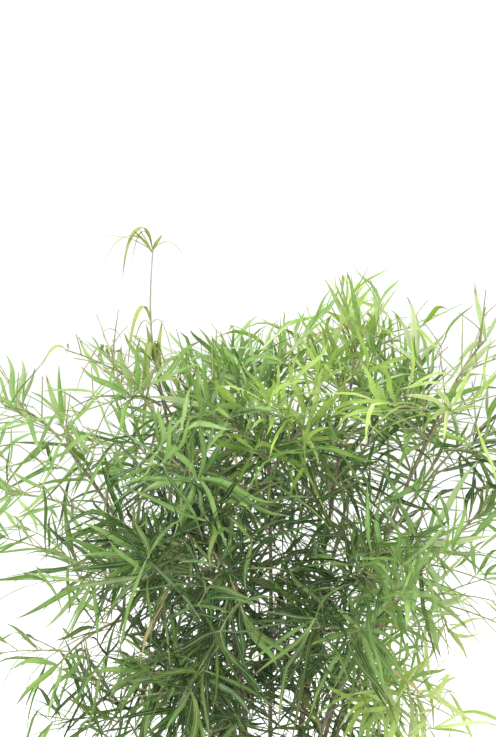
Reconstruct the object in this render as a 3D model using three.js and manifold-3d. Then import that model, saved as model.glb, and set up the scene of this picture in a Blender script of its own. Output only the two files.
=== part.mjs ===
// A potted sicklethorn asparagus: a plain round nursery pot full of soil, woody canes that
// stand in holes in the soil, and leafy sprays that branch from the canes.
// Millimetres, +Z up. The origin is the middle of the pot's flat underside.
// The front of the plant faces -Y, and +X is on its right.

import * as THREE from "three";
import { mergeVertices } from "three/addons/utils/BufferGeometryUtils.js";
import Module from "manifold-3d";

const wasm = await Module();
wasm.setup();

const UP = new THREE.Vector3(0, 0, 1);
const TURN = 2 * Math.PI;
const FRONT = new THREE.Vector3(0, -1, 0);
// A direction that leans less than this off the upright counts as upright
const LEAST_LEAN = 0.25;
// The gap between two pieces that touch on the real plant
const FIT_GAP = 0.3;
// Corners nearer than this are one corner
const SAME_CORNER = 1e-4;

// Pot: thin moulded wall, a thicker rim band, and drain holes round the floor
const POT_HEIGHT = 170;
const POT_FOOT_RADIUS = 70;
const POT_TOP_RADIUS = 92;
const POT_WALL = 3;
const POT_FLOOR = 4;
const RIM_BAND_HEIGHT = 24;
const RIM_BAND_PROUD = 3.5;
const RIM_CHAMFER = 2;
const POT_SIDES = 40;
const DRAIN_HOLES = 6;
const DRAIN_HOLE_RADIUS = 5;
const DRAIN_RING_RADIUS = 46;
const DRAIN_HOLE_SIDES = 8;

// Soil: fills the pot to a little below its rim, and falls a little to the wall
const SOIL_LEVEL = 150;
const SOIL_FLAT_RADIUS = 68;
const SOIL_EDGE_DROP = 4;

// Canes
const CANE_SIDES = 5;
const CANE_FOOT_RADIUS = 2.7;
const CANE_HEAD_RADIUS = 1.5;
const CANE_STEPS = 9;
const CANE_DEPTH = 46;
const SOCKET_GAP = 0.4;
const SOCKET_FLOOR_SHARE = 0.02;
const SPINES_PER_CANE = 4;
const SPINE_LENGTH = 6;
const SPINE_RADIUS = 1.1;
const SPINE_HOOK = 2.5;
const SPINE_SPAN = [0.26, 0.76];
const SPINE_SCATTER = 0.3;

// Each cane: where it leaves the soil, the middle of its line, and its head
const CANES = {
  tall: [[-14, 8], [-60, -4, 390], [-104, -12, 618]],
  far_left: [[-31, -6], [-98, -22, 372], [-196, -34, 552]],
  low_left: [[-33, 13], [-92, 56, 300], [-180, 84, 384]],
  mid_left: [[-9, 25], [-31, 52, 380], [-36, 64, 566]],
  centre: [[5, -8], [9, -24, 376], [4, -34, 570]],
  peak: [[20, 5], [56, 12, 386], [90, 2, 612]],
  right: [[31, -9], [96, -26, 376], [176, -42, 586]],
  low_right: [[36, 12], [110, 56, 322], [198, 74, 438]],
  front: [[-6, -30], [-22, -92, 334], [-46, -154, 460]],
  front_right: [[17, -27], [62, -88, 290], [110, -142, 392]],
  back_left: [[-21, 31], [-66, 106, 346], [-112, 164, 500]],
  back_right: [[20, 34], [62, 108, 346], [106, 162, 516]],
};

// Each spray: its cane, how far up the cane it leaves, where its twig ends, its age, and how
// many leaves stand at its tip where they aren't set one by one. A share of 1 continues the
// cane from its head.
const SPRAYS = [
  ["tall", 0.93, [-132, -62, 600], "mature", 7],
  ["tall", 0.86, [-160, 16, 640], "young", 5],
  ["tall", 0.74, [-61, -172, 532], "mature", 9],
  ["tall", 0.58, [-28, -166, 446], "mature", 7],
  ["far_left", 1, [-242, -44, 590], "mature", 4],
  ["far_left", 0.86, [-204, 24, 566], "mature", 4],
  ["far_left", 0.74, [-248, -66, 506], "mature", 4],
  ["far_left", 0.56, [-170, -92, 423], "mature", 6],
  ["far_left", 0.4, [-114, -114, 344], "mature", 4],
  ["low_left", 1, [-214, 96, 430], "mature", 3],
  ["low_left", 0.78, [-208, 14, 320], "mature", 4],
  ["low_left", 0.46, [-154, 4, 256], "mature", 4],
  ["mid_left", 1, [-28, 52, 606], "mature", 5],
  ["mid_left", 0.88, [-88, 116, 568], "mature", 4],
  ["mid_left", 0.8, [4, 118, 536], "mature", 4],
  ["centre", 1, [-6, -42, 615], "mature", 5],
  ["centre", 0.9, [-54, -84, 595], "mature", 5],
  ["centre", 0.84, [42, -96, 576], "fresh", 6],
  ["peak", 1, [96, -2, 654], "fresh", 8],
  ["peak", 0.92, [68, -34, 632], "fresh", 5],
  ["peak", 0.84, [130, 56, 594], "mature", 4],
  ["peak", 0.7, [70, 92, 536], "mature", 4],
  ["right", 1, [219, -48, 656], "mature", 3],
  ["right", 0.92, [150, -92, 642], "mature", 5],
  ["right", 0.84, [177, -134, 596], "fresh", 7],
  ["right", 0.7, [228, -6, 572], "mature", 3],
  ["right", 0.58, [156, -116, 468], "mature", 4],
  ["low_right", 1, [232, 76, 470], "mature", 3],
  ["low_right", 0.8, [188, -4, 358], "fresh", 5],
  ["low_right", 0.6, [164, -60, 389], "mature", 5],
  ["front", 1, [-18, -196, 412], "mature", 4],
  ["front", 0.88, [-106, -152, 459], "mature", 8],
  ["front", 0.7, [-80, -156, 314], "mature", 6],
  ["front", 0.5, [-30, -164, 258], "mature", 5],
  ["front_right", 1, [120, -178, 433], "mature", 6],
  ["front_right", 0.82, [89, -196, 397], "mature", 7],
  ["front_right", 0.6, [153, -124, 318], "fresh", 6],
  ["back_left", 1, [-140, 190, 532], "mature", 5],
  ["back_left", 0.86, [-38, 214, 490], "mature", 4],
  ["back_left", 0.7, [-146, 196, 388], "mature", 4],
  ["back_left", 0.48, [-78, 158, 268], "mature", 4],
  ["back_right", 1, [140, 186, 552], "mature", 5],
  ["back_right", 0.86, [42, 220, 496], "mature", 5],
  ["back_right", 0.7, [148, 200, 410], "mature", 4],
  ["back_right", 0.48, [72, 164, 276], "mature", 4],
];

// Young shoot at the head of the tall cane: a thin stem with three tufts of soft leaves
const SHOOT_TOP = [-108, -14, 744];
const SHOOT_STEM_RADIUS = 1.2;
const SHOOT_STEPS = 4;
const SHOOT_BOW = 0.4;
// How far a leaf's face is turned out of the arch that it follows
const SHOOT_LEAF_TURN = 0.8;

// Each leaf of the young shoot: how far up the stem it stands, where it heads, how far its tip
// hangs below that, and its width
const SHOOT_LEAVES = [
  [0.985, [-30, -6, 116], 146, 4.6],
  [0.98, [-21, 6, 92], 104, 4],
  [0.975, [-50, -12, 80], 96, 3.4],
  [0.98, [-52, 12, 40], 26, 3],
  [0.985, [30, -8, 40], 44, 4],
  [0.97, [-15, 6, 32], 6, 4.4],
  [0.965, [-20, -6, 36], 12, 4],
  [0.985, [9, 5, 22], 6, 3.4],
  [0.43, [-23, -8, 108], 153, 4.6],
  [0.41, [-21, 8, 49], 85, 4],
  [0.43, [22, -6, 44], 78, 4.8],
  [0.25, [-10, -12, 40], 98, 5.4],
  [0.24, [-5, -17, 36], 82, 5],
  [0.25, [14, -10, 34], 64, 5.6],
  [0.24, [6, -15, 34], 74, 5],
  [0.23, [-8, 12, 36], 84, 4.8],
  [0.23, [9, 12, 34], 76, 4.8],
  [0.06, [-9, -6, 46], 4, 4.6],
  [0.06, [7, 5, 50], 3, 4.6],
  [0.04, [38, -14, 4], 8, 5],
];

// Twigs
const TWIG_SIDES = 3;
const TWIG_STEPS = 4;
const TWIG_BASE_RADIUS = 1.6;
const TWIG_TIP_RADIUS = 1;
const TWIG_STUB = 4;
const TWIG_LIFT = 0.16;
const TWIG_SWAY = 0.1;
const CLEAR_OF_CANE = 8;
const SIDE_TWIG_RADII = [1.1, 0.9];
const SIDE_TWIG_SHARES = [0.36, 0.58, 0.8];
const SIDE_TWIG_LENGTH = [52, 86];
const SIDE_TWIG_ANGLE = [0.75, 1.05];
const SIDE_TWIG_POINT = 0.08;
const UPRIGHT = 0.8;
const GOLDEN_TURN = 2.4;

// Leaves: flat above, keeled below, widest a third of the way along
const LEAF_LENGTH = [56, 88];
const LEAF_WIDTH = [5.2, 7.4];
const LEAF_KEEL = 1.1;
const LEAF_WIDEST = 0.35;
const SMALL_STEP = 0.01;
const LEAF_NECK = 0.22;
const LEAF_TAPER = 1.6;
const LEAF_SHARES = { mature: [0.3, 0.66], fresh: [0.3, 0.66], young: [0.18, 0.42, 0.7] };
const LEAF_SICKLE = 0.18;
const LEAF_DROOP = { mature: [0, 0.3], fresh: [0.05, 0.4], young: [0.75, 1.25] };
const LEAF_SHORTNESS = { mature: 1, fresh: 1, young: 0.55 };
const LEAF_SLIMNESS = { mature: 1, fresh: 0.95, young: 0.72 };
const LEAF_LIFT = { mature: 0.12, fresh: 0.12, young: 0.35 };
// Leaves near the top of the bush rise more: how much, and between which heights it sets in
const TOP_LIFT = 0.9;
const TOP_SPAN = [510, 630];
// How far a leaf opens from the axis of its cluster, and how much more where that faces
// straight forward or back
const LEAF_OPENING = 0.6;
const FACING_OPENING = 0.65;
const OPENING_SPREAD = [0.8, 1.2];
// A leaf's face looks partly along its twig and mostly up
const FACE_ALONG = 0.6;
const FACE_UP = 0.8;
// How far a leaf may be rolled about its own length
const LEAF_ROLL = 1.1;
const LEAF_SPACING = 3;
const FIRST_LEAF = 1.5;
// Side twigs have fewer leaves where the tip of their spray has few
const FEW_AT_TIP = 4;
const LEAVES_AT_SIDE_TIP = { few: 1, many: 2 };

// Leaves that are set one by one, in the clusters that show most: how far up the main twig each
// stands, where it heads, how far its tip hangs below that, and how far its face turns from the front
const SET_LEAVES = {
  tall_1: [
    [1, -47, -8, 28, 0, 0.3], [1, -35, -16, 39, 0, 0.9], [1, -33, 4, 29, 0, 1.1],
    [1, -12, -20, 54, 4, 0.4], [1, 14, -12, 58, 0, 0.2], [1, 30, -26, 34, 6, 0.7],
    [1, -22, -28, -34, 4, 0.3],
  ],
  tall_3: [
    [1, 14, -22, 77, 0, 0.2], [1, -23, -12, 41, 0, 0.1], [1, 34, -14, 48, 12, 0.6],
    [1, 80, -18, -20, 6, 0.2], [1, 76, -22, -38, 4, 0], [1, 38, -16, -30, 42, 0.2],
    [1, -74, -14, 10, 16, 0.5], [1, -64, -20, -8, 10, 0.5], [1, -15, -24, -48, 0, 0.1],
  ],
  tall_4: [
    [1, -39, -16, -46, 0, 0], [1, -36, -10, -10, 2, 0.2], [1, -14, -22, -36, 42, 0.2],
    [1, 6, -22, -28, 20, 0.1], [1, 2, -12, 54, 0, 0.7], [1, 9, -16, 26, 4, 0.3],
    [1, -26, 8, -42, 0, 0.3],
  ],
  far_left_1: [
    [1, -7, 0, 52, 0, 0.5], [1, 8, -6, 50, 0, 0.3], [1, 24, -12, -44, 4, 0.1],
    [1, 14, 6, 40, 0, 1.2],
  ],
  far_left_2: [
    [1, -16, 2, 51, 0, 0.4], [1, -3, -10, 62, 0, 0], [1, -4, 8, 34, 0, 1.1],
    [1, 22, -12, -50, 2, 0.1],
  ],
  far_left_4: [
    [1, -68, -6, 12, 0, 1], [1, -70, -14, -32, 4, 0], [1, -44, 4, -46, 2, 0.1],
    [1, -40, -14, -60, 0, 1.1], [1, -27, 8, -58, 0, 1.1], [1, 5, -14, -50, 16, 0.6],
  ],
  far_left_5: [
    [1, -32, -8, 12, 4, 0.4], [1, -44, -14, 4, 2, 0.3], [1, -38, -16, -22, 8, 0],
    [1, -32, -26, -36, 8, 0], [1, 18, -20, -50, 4, 0.5],
  ],
  low_left_2: [
    [1, -48, -4, 26, 30, 0.7], [1, -36, 8, -16, 30, 0.5], [1, -48, -8, -36, 12, 0.6],
    [1, -16, -10, -62, 0, 0.6], [1, 46, -12, 12, 20, 0.4],
  ],
  mid_left_1: [
    [1, -35, -10, 60, 0, 0.2], [1, -47, -12, 45, 0, 0.3], [1, -13, 4, 64, 0, 0.1],
    [1, -5, -14, 56, 0, 0.3], [1, 14, 8, 47, 0, 1],
  ],
  centre_1: [
    [1, -9, 2, 58, 0, 0.9], [1, 12, -12, 60, 0, 0], [1, 21, 8, 54, 0, 0.5],
    [1, 28, -18, 44, 0, 0.6], [1, -10, -28, -12, 42, 0], [1, 32, -16, -4, 8, 0.4],
  ],
  centre_2: [
    [1, -30, -8, 54, 0, 0.5], [1, -58, -12, 14, 4, 0.5], [1, -16, -20, 56, 0, 0.3],
    [1, 20, -16, 52, 0, 0.4], [1, 46, -24, 10, 14, 0.4],
  ],
  centre_3: [
    [1, 19, -12, 68, 0, 0], [1, 24, -20, 36, 0, 0.4], [1, -22, -14, 30, 0, 0.3],
    [1, -8, 2, 70, 0, 0.3], [1, 14, -26, -18, 18, 0.2], [1, -34, -16, 44, 2, 0.4],
  ],
  peak_1: [
    [1, -34, -4, 62, 0, 0.3], [1, -22, 4, 61, 0, 0.2], [1, -18, -12, 70, 0, 0.5],
    [1, -8, 2, 80, 0, 0], [1, 1, -8, 72, 0, 0.4], [1, 10, 8, 62, 0, 0.2],
    [1, 27, -6, 68, 0, 0.3], [1, 30, 4, 80, 0, 0.1],
  ],
  peak_2: [
    [1, -30, -8, 56, 0, 0.2], [1, -12, -14, 64, 0, 0.4], [1, 10, -10, 60, 0, 0],
    [1, 26, -18, 48, 4, 0.5], [1, -44, -14, 30, 4, 0.3],
  ],
  right_1: [
    [1, -12, 4, 52, 0, 0.2], [1, 14, -18, 32, 0, 0.5], [1, -26, -16, 0, 18, 0],
    [0.5, 17, -8, 44, 0, 0.1], [0.5, -30, -10, 30, 0, 1.2], [0.5, 30, -20, 10, 8, 0.7],
  ],
  right_2: [
    [1, -10, -6, 60, 0, 0.3], [1, -6, 4, 46, 0, 0.1], [1, -24, -12, 54, 0, 0.5],
    [1, 26, 2, 28, 0, 0.6], [1, -34, -20, 24, 4, 0.8],
  ],
  right_3: [
    [1, 22, 4, 43, 0, 0.1], [1, -17, -12, 36, 18, 0.1], [1, -24, -30, 2, 14, 0],
    [1, -8, -34, -4, 26, 0.1], [1, 10, -26, 6, 36, 0.2], [1, -46, -14, 40, 26, 0.2],
    [1, 36, -22, 16, 10, 0.5],
  ],
  right_4: [
    [1, -3, 2, 47, 0, 0.7], [1, 16, -14, 46, 4, 0.2], [1, 22, -20, -20, 20, 0.3],
  ],
  right_5: [
    [1, 14, -8, 53, 0, 0.5], [1, 36, -14, 80, 0, 0.2], [1, 42, -20, 20, 0, 0.5],
    [1, 66, -12, -6, -16, 0.2], [1, 42, -10, -38, 8, 0.9], [1, 18, -18, -46, 2, 0.2],
    [1, -7, -30, -38, 6, 0], [1, -24, -16, 46, 0, 0.5],
  ],
  low_right_2: [
    [1, 36, -6, 28, 14, 0.4], [1, 36, -10, -26, -26, 0.5], [1, 22, -16, -10, 10, 0.6],
    [1, 26, 4, 4, 8, 1.1], [1, -20, -20, -30, 8, 0.2],
  ],
  low_right_3: [
    [1, 42, -8, 16, 0, 0.3], [1, 42, -20, 11, 0, 0.1], [1, 34, -14, 2, 2, 0.6],
    [1, -30, -16, -8, 4, 0.3], [1, 12, -24, -40, 4, 0.3],
  ],
  front_1: [
    [1, 50, -14, -64, -24, 0], [1, 38, -18, -78, -22, 0], [1, 44, -6, -70, -24, 0.2],
    [1, 4, -20, -58, 0, 0.5], [1, -24, -22, -44, 4, 0.3],
  ],
  front_2: [
    [1, -68, -20, 37, 0, 0.2], [1, -80, -12, 12, 6, 0.2], [1, -78, -22, -22, -6, 0],
    [1, -64, -28, -10, 6, 0], [1, -60, -28, 24, 0, 0.1], [1, -46, -32, -26, 2, 0.2],
    [1, 12, -26, -40, 0, 0.2], [1, -14, -20, 56, 0, 0.6],
  ],
  front_right_1: [
    [1, 29, -14, 28, 0, 0.1], [1, -24, -12, 34, 0, 0.3], [1, -36, -18, 0, 0, 0.9],
    [1, -2, -26, -36, 0, 0], [1, 46, -22, 0, 8, 0.3], [1, 16, -12, -62, 0, 0.8],
  ],
  front_right_2: [
    [1, -54, -16, -8, 6, 0.1], [1, -25, -24, 27, 0, 0], [1, -13, 4, 38, 0, 0.4],
    [1, 28, -16, 34, 0, 0], [1, -26, -20, -54, 0, 0], [1, 16, -26, -40, 0, 0.2],
    [1, 38, -16, -50, 0, 0.1], [1, 56, -10, 14, 50, 0.3], [1, 46, -22, -10, 40, 0.2],
  ],
  front_right_3: [
    [1, 34, -12, 20, 0, 0.2], [1, 34, -18, 34, 60, 0.2], [1, 60, -10, -8, 22, 0.4],
    [1, 11, -22, -50, 0, 0.2], [0.72, -8, -16, -50, 0, 0.1], [0.72, -24, -24, -34, 4, 0.2],
    [0.45, -6, -18, -54, 0, 0], [0.45, -14, -26, -40, 6, 0.1],
  ],
};
const SET_SPACING = 2;
const SET_SICKLE = 0.08;

// How close two things that don't belong together may come, and how often a place is tried
const CLEARANCE = 1.1;
const ROOT_CROWD = 10;
const MOST_TRIES = 60;
const CELL = 10;
const BALL_STEP = 3.2;
const LEAF_BALL_SHARES = [0.25, 0.5, 0.75];
const LEAF_BALL_RADIUS = 2;
// The top of the crown, seen from the front: only what is set by hand may rise above it
const CROWN = [
  [-400, 640], [-240, 640], [-150, 662], [-20, 668], [50, 692], [80, 730],
  [130, 730], [155, 696], [210, 690], [400, 690],
];
const FIRST_BALL = 0.1;
// How far directions wander at first, and over how many tries they wander one radian more
const TWIG_WANDER = { first: 1.2, more: 15 };
const LEAF_WANDER = { first: 0.6, more: 8 };

// Where the random numbers of each kind of thing start
const SEEDS = {
  spines: 500,
  twigs: 1000,
  sideTwigs: 2000,
  setLeaves: 5000,
  tipLeaves: 10000,
  sideLeaves: 10020,
};

// Colours and finishes
const finish = (color, roughness) => new THREE.MeshStandardMaterial({ color, roughness, metalness: 0 });
const MATERIALS = {
  pot: finish(0x35383a, 0.6),
  soil: finish(0x2e2118, 0.95),
  cane: finish(0x7a6248, 0.8),
  mature: finish(0x3f8a2c, 0.45),
  fresh: finish(0x7fb63c, 0.45),
  young: finish(0xa9b552, 0.5),
};

// Repeatable random numbers, from 0 to 1
function randomFrom(seed) {
  let state = (seed * 7919 + 104729) % 4294967296;
  const draw = () => {
    state = (state * 1664525 + 1013904223) % 4294967296;
    return state / 4294967296;
  };
  for (let i = 0; i < 6; i += 1) draw();
  return draw;
}

const between = ([low, high], share) => low + (high - low) * share;
const vector = (point) => new THREE.Vector3(...point);

// A direction at right angles to another: level, or along X where the other is upright
function acrossOf(direction) {
  const across = new THREE.Vector3().crossVectors(direction, UP);
  if (across.length() < LEAST_LEAN) across.set(1, 0, 0).addScaledVector(direction, -direction.x);
  return across.normalize();
}

// The point at a share of the way along a curve with one control point
function bend(start, control, end, share) {
  return new THREE.Vector3()
    .addScaledVector(start, (1 - share) ** 2)
    .addScaledVector(control, 2 * share * (1 - share))
    .addScaledVector(end, share ** 2);
}

function solidOf(geometry) {
  const bare = geometry.clone();
  bare.deleteAttribute("normal");
  bare.deleteAttribute("uv");
  const merged = mergeVertices(bare, SAME_CORNER);
  const mesh = new wasm.Mesh({
    numProp: 3,
    vertProperties: merged.attributes.position.array,
    triVerts: new Uint32Array(merged.index.array),
  });
  return new wasm.Manifold(mesh);
}

function meshOf(name, solid, material) {
  const { vertProperties, triVerts } = solid.getMesh();
  const geometry = new THREE.BufferGeometry()
    .setAttribute("position", new THREE.BufferAttribute(vertProperties, 3))
    .setIndex(new THREE.BufferAttribute(triVerts, 1));
  geometry.computeVertexNormals();
  const mesh = new THREE.Mesh(geometry, material);
  mesh.name = name;
  return mesh;
}

// Skins a row of rings, each a list of points or one point, and closes both ends
function loft(rings) {
  const positions = rings.flat().flatMap((point) => point.toArray());
  const starts = rings.map((_, i) => rings.slice(0, i).flat().length);
  const faces = [];
  for (let i = 0; i + 1 < rings.length; i += 1) {
    const [a, b] = [rings[i].length, rings[i + 1].length];
    const sides = Math.max(a, b);
    for (let j = 0; j < sides; j += 1) {
      const next = (j + 1) % sides;
      const [here, ahead] = [starts[i], starts[i + 1]];
      if (a > 1) faces.push(here + j, here + next, ahead + (b > 1 ? next : 0));
      if (b > 1) faces.push(here + (a > 1 ? j : 0), ahead + next, ahead + j);
    }
  }
  const last = rings.length - 1;
  for (let j = 1; j + 1 < rings[0].length; j += 1) faces.push(0, j + 1, j);
  for (let j = 1; j + 1 < rings[last].length; j += 1) {
    faces.push(starts[last], starts[last] + j, starts[last] + j + 1);
  }
  const geometry = new THREE.BufferGeometry()
    .setAttribute("position", new THREE.BufferAttribute(new Float32Array(positions), 3))
    .setIndex(faces);
  return solidOf(geometry);
}

// A round bar through points, with a radius at each. A radius of 0 draws it in to a point.
function bar(points, radii, sides) {
  const last = points.length - 1;
  let side = null;
  const rings = points.map((point, i) => {
    const along = new THREE.Vector3()
      .subVectors(points[Math.min(i + 1, last)], points[Math.max(i - 1, 0)])
      .normalize();
    side = (side ?? acrossOf(along)).clone();
    side.addScaledVector(along, -side.dot(along)).normalize();
    const over = new THREE.Vector3().crossVectors(along, side);
    if (radii[i] === 0) return [point];
    return Array.from({ length: sides }, (_, k) =>
      point.clone()
        .addScaledVector(side, radii[i] * Math.cos((k * TURN) / sides))
        .addScaledVector(over, radii[i] * Math.sin((k * TURN) / sides)));
  });
  return loft(rings);
}

function joined(solids) {
  return solids.reduce((all, solid) => all.add(solid));
}

// Pot
const potInnerRadius = (height) =>
  POT_FOOT_RADIUS + ((POT_TOP_RADIUS - POT_FOOT_RADIUS) * height) / POT_HEIGHT - POT_WALL;

function potSolid() {
  const bandFoot = POT_HEIGHT - RIM_BAND_HEIGHT;
  const profile = [
    [0, 0],
    [POT_FOOT_RADIUS, 0],
    [potInnerRadius(bandFoot) + POT_WALL, bandFoot],
    [potInnerRadius(bandFoot) + POT_WALL + RIM_BAND_PROUD, bandFoot + RIM_CHAMFER],
    [POT_TOP_RADIUS + RIM_BAND_PROUD, POT_HEIGHT - RIM_CHAMFER],
    [POT_TOP_RADIUS + RIM_BAND_PROUD - RIM_CHAMFER, POT_HEIGHT],
    [POT_TOP_RADIUS - POT_WALL, POT_HEIGHT],
    [potInnerRadius(POT_FLOOR), POT_FLOOR],
    [0, POT_FLOOR],
  ].map(([radius, height]) => new THREE.Vector2(radius, height));
  let pot = solidOf(new THREE.LatheGeometry(profile, POT_SIDES).rotateX(Math.PI / 2));
  for (let i = 0; i < DRAIN_HOLES; i += 1) {
    const angle = ((i + 0.5) * TURN) / DRAIN_HOLES;
    const drillSize = [DRAIN_HOLE_RADIUS, DRAIN_HOLE_RADIUS, 3 * POT_FLOOR, DRAIN_HOLE_SIDES];
    const drill = new THREE.CylinderGeometry(...drillSize)
      .rotateX(Math.PI / 2)
      .translate(DRAIN_RING_RADIUS * Math.cos(angle), DRAIN_RING_RADIUS * Math.sin(angle), 0);
    pot = pot.subtract(solidOf(drill));
  }
  return pot;
}

// A line of straight steps between knots, and the place and heading at a share of it
const knotsOf = (start, control, end, steps) =>
  Array.from({ length: steps + 1 }, (_, i) => bend(start, control, end, i / steps));

function spotOn(knots, share) {
  const steps = knots.length - 1;
  const step = Math.min(Math.floor(share * steps), steps - 1);
  const [low, high] = [knots[step], knots[step + 1]];
  return { at: low.clone().lerp(high, share * steps - step), along: high.clone().sub(low).normalize() };
}

// Canes
const caneRadius = (share) => between([CANE_FOOT_RADIUS, CANE_HEAD_RADIUS], share);

function caneKnots(name) {
  const [[x, y], middle, head] = CANES[name];
  const foot = new THREE.Vector3(x, y, SOIL_LEVEL - CANE_DEPTH);
  const control = vector(middle).multiplyScalar(2)
    .addScaledVector(foot, -0.5)
    .addScaledVector(vector(head), -0.5);
  return knotsOf(foot, control, vector(head), CANE_STEPS);
}

function caneBar(knots) {
  return bar(knots, knots.map((_, i) => caneRadius(i / CANE_STEPS)), CANE_SIDES);
}

// The hole that a cane stands in, a little deeper and wider than the cane
function socketBar([foot, ...knots]) {
  const radius = CANE_FOOT_RADIUS + SOCKET_GAP;
  const floor = foot.clone().lerp(knots[0], -SOCKET_FLOOR_SHARE);
  return bar([floor, knots[0], knots[1]], [radius, radius, radius], CANE_SIDES);
}

// Short hooked spines, which stand below the leafy part of a cane
function spineSolids(knots, random) {
  return Array.from({ length: SPINES_PER_CANE }, (_, i) => {
    const share = between(SPINE_SPAN, (i + SPINE_SCATTER * random()) / SPINES_PER_CANE);
    const angle = i * GOLDEN_TURN + random();
    const { at: root, along } = spotOn(knots, share);
    const side = acrossOf(along);
    const out = side.clone().multiplyScalar(Math.cos(angle))
      .addScaledVector(new THREE.Vector3().crossVectors(along, side), Math.sin(angle));
    const tip = root.clone().addScaledVector(out, SPINE_LENGTH).addScaledVector(along, -SPINE_HOOK);
    const breadth = new THREE.Vector3().crossVectors(along, out);
    const ring = [breadth, along, breadth.clone().negate()]
      .map((direction) => root.clone().addScaledVector(direction, SPINE_RADIUS));
    return loft([ring, [tip]]);
  });
}

function soilSolid() {
  const bottom = POT_FLOOR + FIT_GAP;
  const edge = SOIL_LEVEL - SOIL_EDGE_DROP;
  const profile = [
    [0, bottom],
    [potInnerRadius(bottom) - FIT_GAP, bottom],
    [potInnerRadius(edge) - FIT_GAP, edge],
    [SOIL_FLAT_RADIUS, SOIL_LEVEL],
    [0, SOIL_LEVEL],
  ].map(([radius, height]) => new THREE.Vector2(radius, height));
  return solidOf(new THREE.LatheGeometry(profile, POT_SIDES).rotateX(Math.PI / 2));
}

// What is already taken up, as balls in a grid of cells, so that nothing new crosses it
const taken = new Map();
const cellOf = (value) => Math.floor(value / CELL);

function take(balls, owner) {
  for (const { at, radius } of balls) {
    const key = `${cellOf(at.x)},${cellOf(at.y)},${cellOf(at.z)}`;
    if (!taken.has(key)) taken.set(key, []);
    taken.get(key).push({ at, radius, owner });
  }
}

// Whether balls keep clear of what is taken. Near the root, a piece may crowd its own node.
function isFree(balls, owner, root) {
  const steps = [-1, 0, 1];
  return balls.every(({ at, radius }) =>
    steps.every((i) => steps.every((j) => steps.every((k) => {
      const near = taken.get(`${cellOf(at.x) + i},${cellOf(at.y) + j},${cellOf(at.z) + k}`) ?? [];
      return near.every((other) =>
        (other.owner === owner && other.at.distanceTo(root) < ROOT_CROWD)
        || other.at.distanceTo(at) > radius + other.radius + CLEARANCE);
    }))));
}

// Whether balls lie below the top of the crown
function isInCrown(balls) {
  return balls.every(({ at }) => {
    const next = CROWN.findIndex(([x]) => x > at.x);
    const [before, after] = [CROWN[next - 1], CROWN[next]];
    return at.z < THREE.MathUtils.mapLinear(at.x, before[0], after[0], before[1], after[1]);
  });
}

// Balls along a line of knots, from a share of it to its end
function ballsAlong({ knots, reach }, radiusAt, from) {
  const count = Math.ceil((reach * (1 - from)) / BALL_STEP);
  return Array.from({ length: count + 1 }, (_, i) => {
    const share = from + ((1 - from) * i) / count;
    return { at: spotOn(knots, share).at, radius: radiusAt(share) };
  });
}

const twigRadius = (share) => between([TWIG_BASE_RADIUS, TWIG_TIP_RADIUS], share);

// The main twig of a spray: a short stub square to the cane, then an arch to its end
function mainTwig(number) {
  const [caneName, share, endAt] = SPRAYS[number];
  const owner = `spray_${number}`;
  const { at: root, along } = spotOn(caneKnots(caneName), share);
  const end = vector(endAt);
  const out = end.clone().sub(root);
  out.addScaledVector(along, -out.dot(along)).normalize();
  if (share === 1) out.copy(along);
  const seat = root.clone().addScaledVector(out, (share === 1 ? 0 : caneRadius(share)) + FIT_GAP);
  const start = seat.clone().addScaledVector(out, TWIG_STUB);
  const random = randomFrom(SEEDS.twigs + number);
  const reach = end.distanceTo(start);
  const side = acrossOf(end.clone().sub(start).normalize());
  for (let tries = 0; tries < MOST_TRIES; tries += 1) {
    const loose = tries / MOST_TRIES;
    const lift = TWIG_LIFT + (random() - 0.5) * loose;
    const sway = (random() - 0.5) * (TWIG_SWAY + loose);
    const control = start.clone().add(end).multiplyScalar(0.5)
      .addScaledVector(UP, lift * reach)
      .addScaledVector(side, sway * reach);
    const twig = { number, owner, seat, reach, knots: knotsOf(start, control, end, TWIG_STEPS) };
    const balls = ballsAlong(twig, twigRadius, CLEAR_OF_CANE / reach);
    if (isFree(balls, owner, root)) {
      take(balls, owner);
      return twig;
    }
  }
  throw new Error(`no clear way for the twig of spray ${number} on ${caneName}`);
}

// A side twig at a share of the main twig, on alternate sides, or none where no way is clear
function sideTwig(twig, order) {
  const share = SIDE_TWIG_SHARES[order];
  const random = randomFrom(SEEDS.sideTwigs + twig.number * 10 + order);
  const { at: root, along } = spotOn(twig.knots, share);
  const across = acrossOf(along);
  const over = new THREE.Vector3().crossVectors(across, along);
  const upright = Math.abs(along.z) > UPRIGHT;
  for (let tries = 0; tries < MOST_TRIES; tries += 1) {
    const wander = TWIG_WANDER.first + tries / TWIG_WANDER.more;
    const turn = order * (upright ? GOLDEN_TURN : Math.PI) + (random() - 0.5) * wander;
    const angle = between(SIDE_TWIG_ANGLE, random());
    const length = between(SIDE_TWIG_LENGTH, random()) * (1 - tries / (3 * MOST_TRIES));
    const heading = along.clone().multiplyScalar(Math.cos(angle))
      .addScaledVector(across, Math.sin(angle) * Math.cos(turn))
      .addScaledVector(over, Math.sin(angle) * Math.sin(turn));
    const end = root.clone().addScaledVector(heading, length);
    const side = { number: twig.number, owner: twig.owner, reach: length, knots: [root, end] };
    const balls = ballsAlong(side, () => SIDE_TWIG_RADII[0], FIRST_BALL);
    if (isInCrown(balls) && isFree(balls, twig.owner, root)) {
      take(balls, twig.owner);
      return side;
    }
  }
  return null;
}

// How wide a leaf is at a share of its length, as a share of its full width
function leafWidth(share) {
  if (share < LEAF_WIDEST) {
    return LEAF_NECK + (1 - LEAF_NECK) * Math.sin(((TURN / 4) * share) / LEAF_WIDEST);
  }
  return 1 - ((share - LEAF_WIDEST) / (1 - LEAF_WIDEST)) ** LEAF_TAPER;
}

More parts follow.
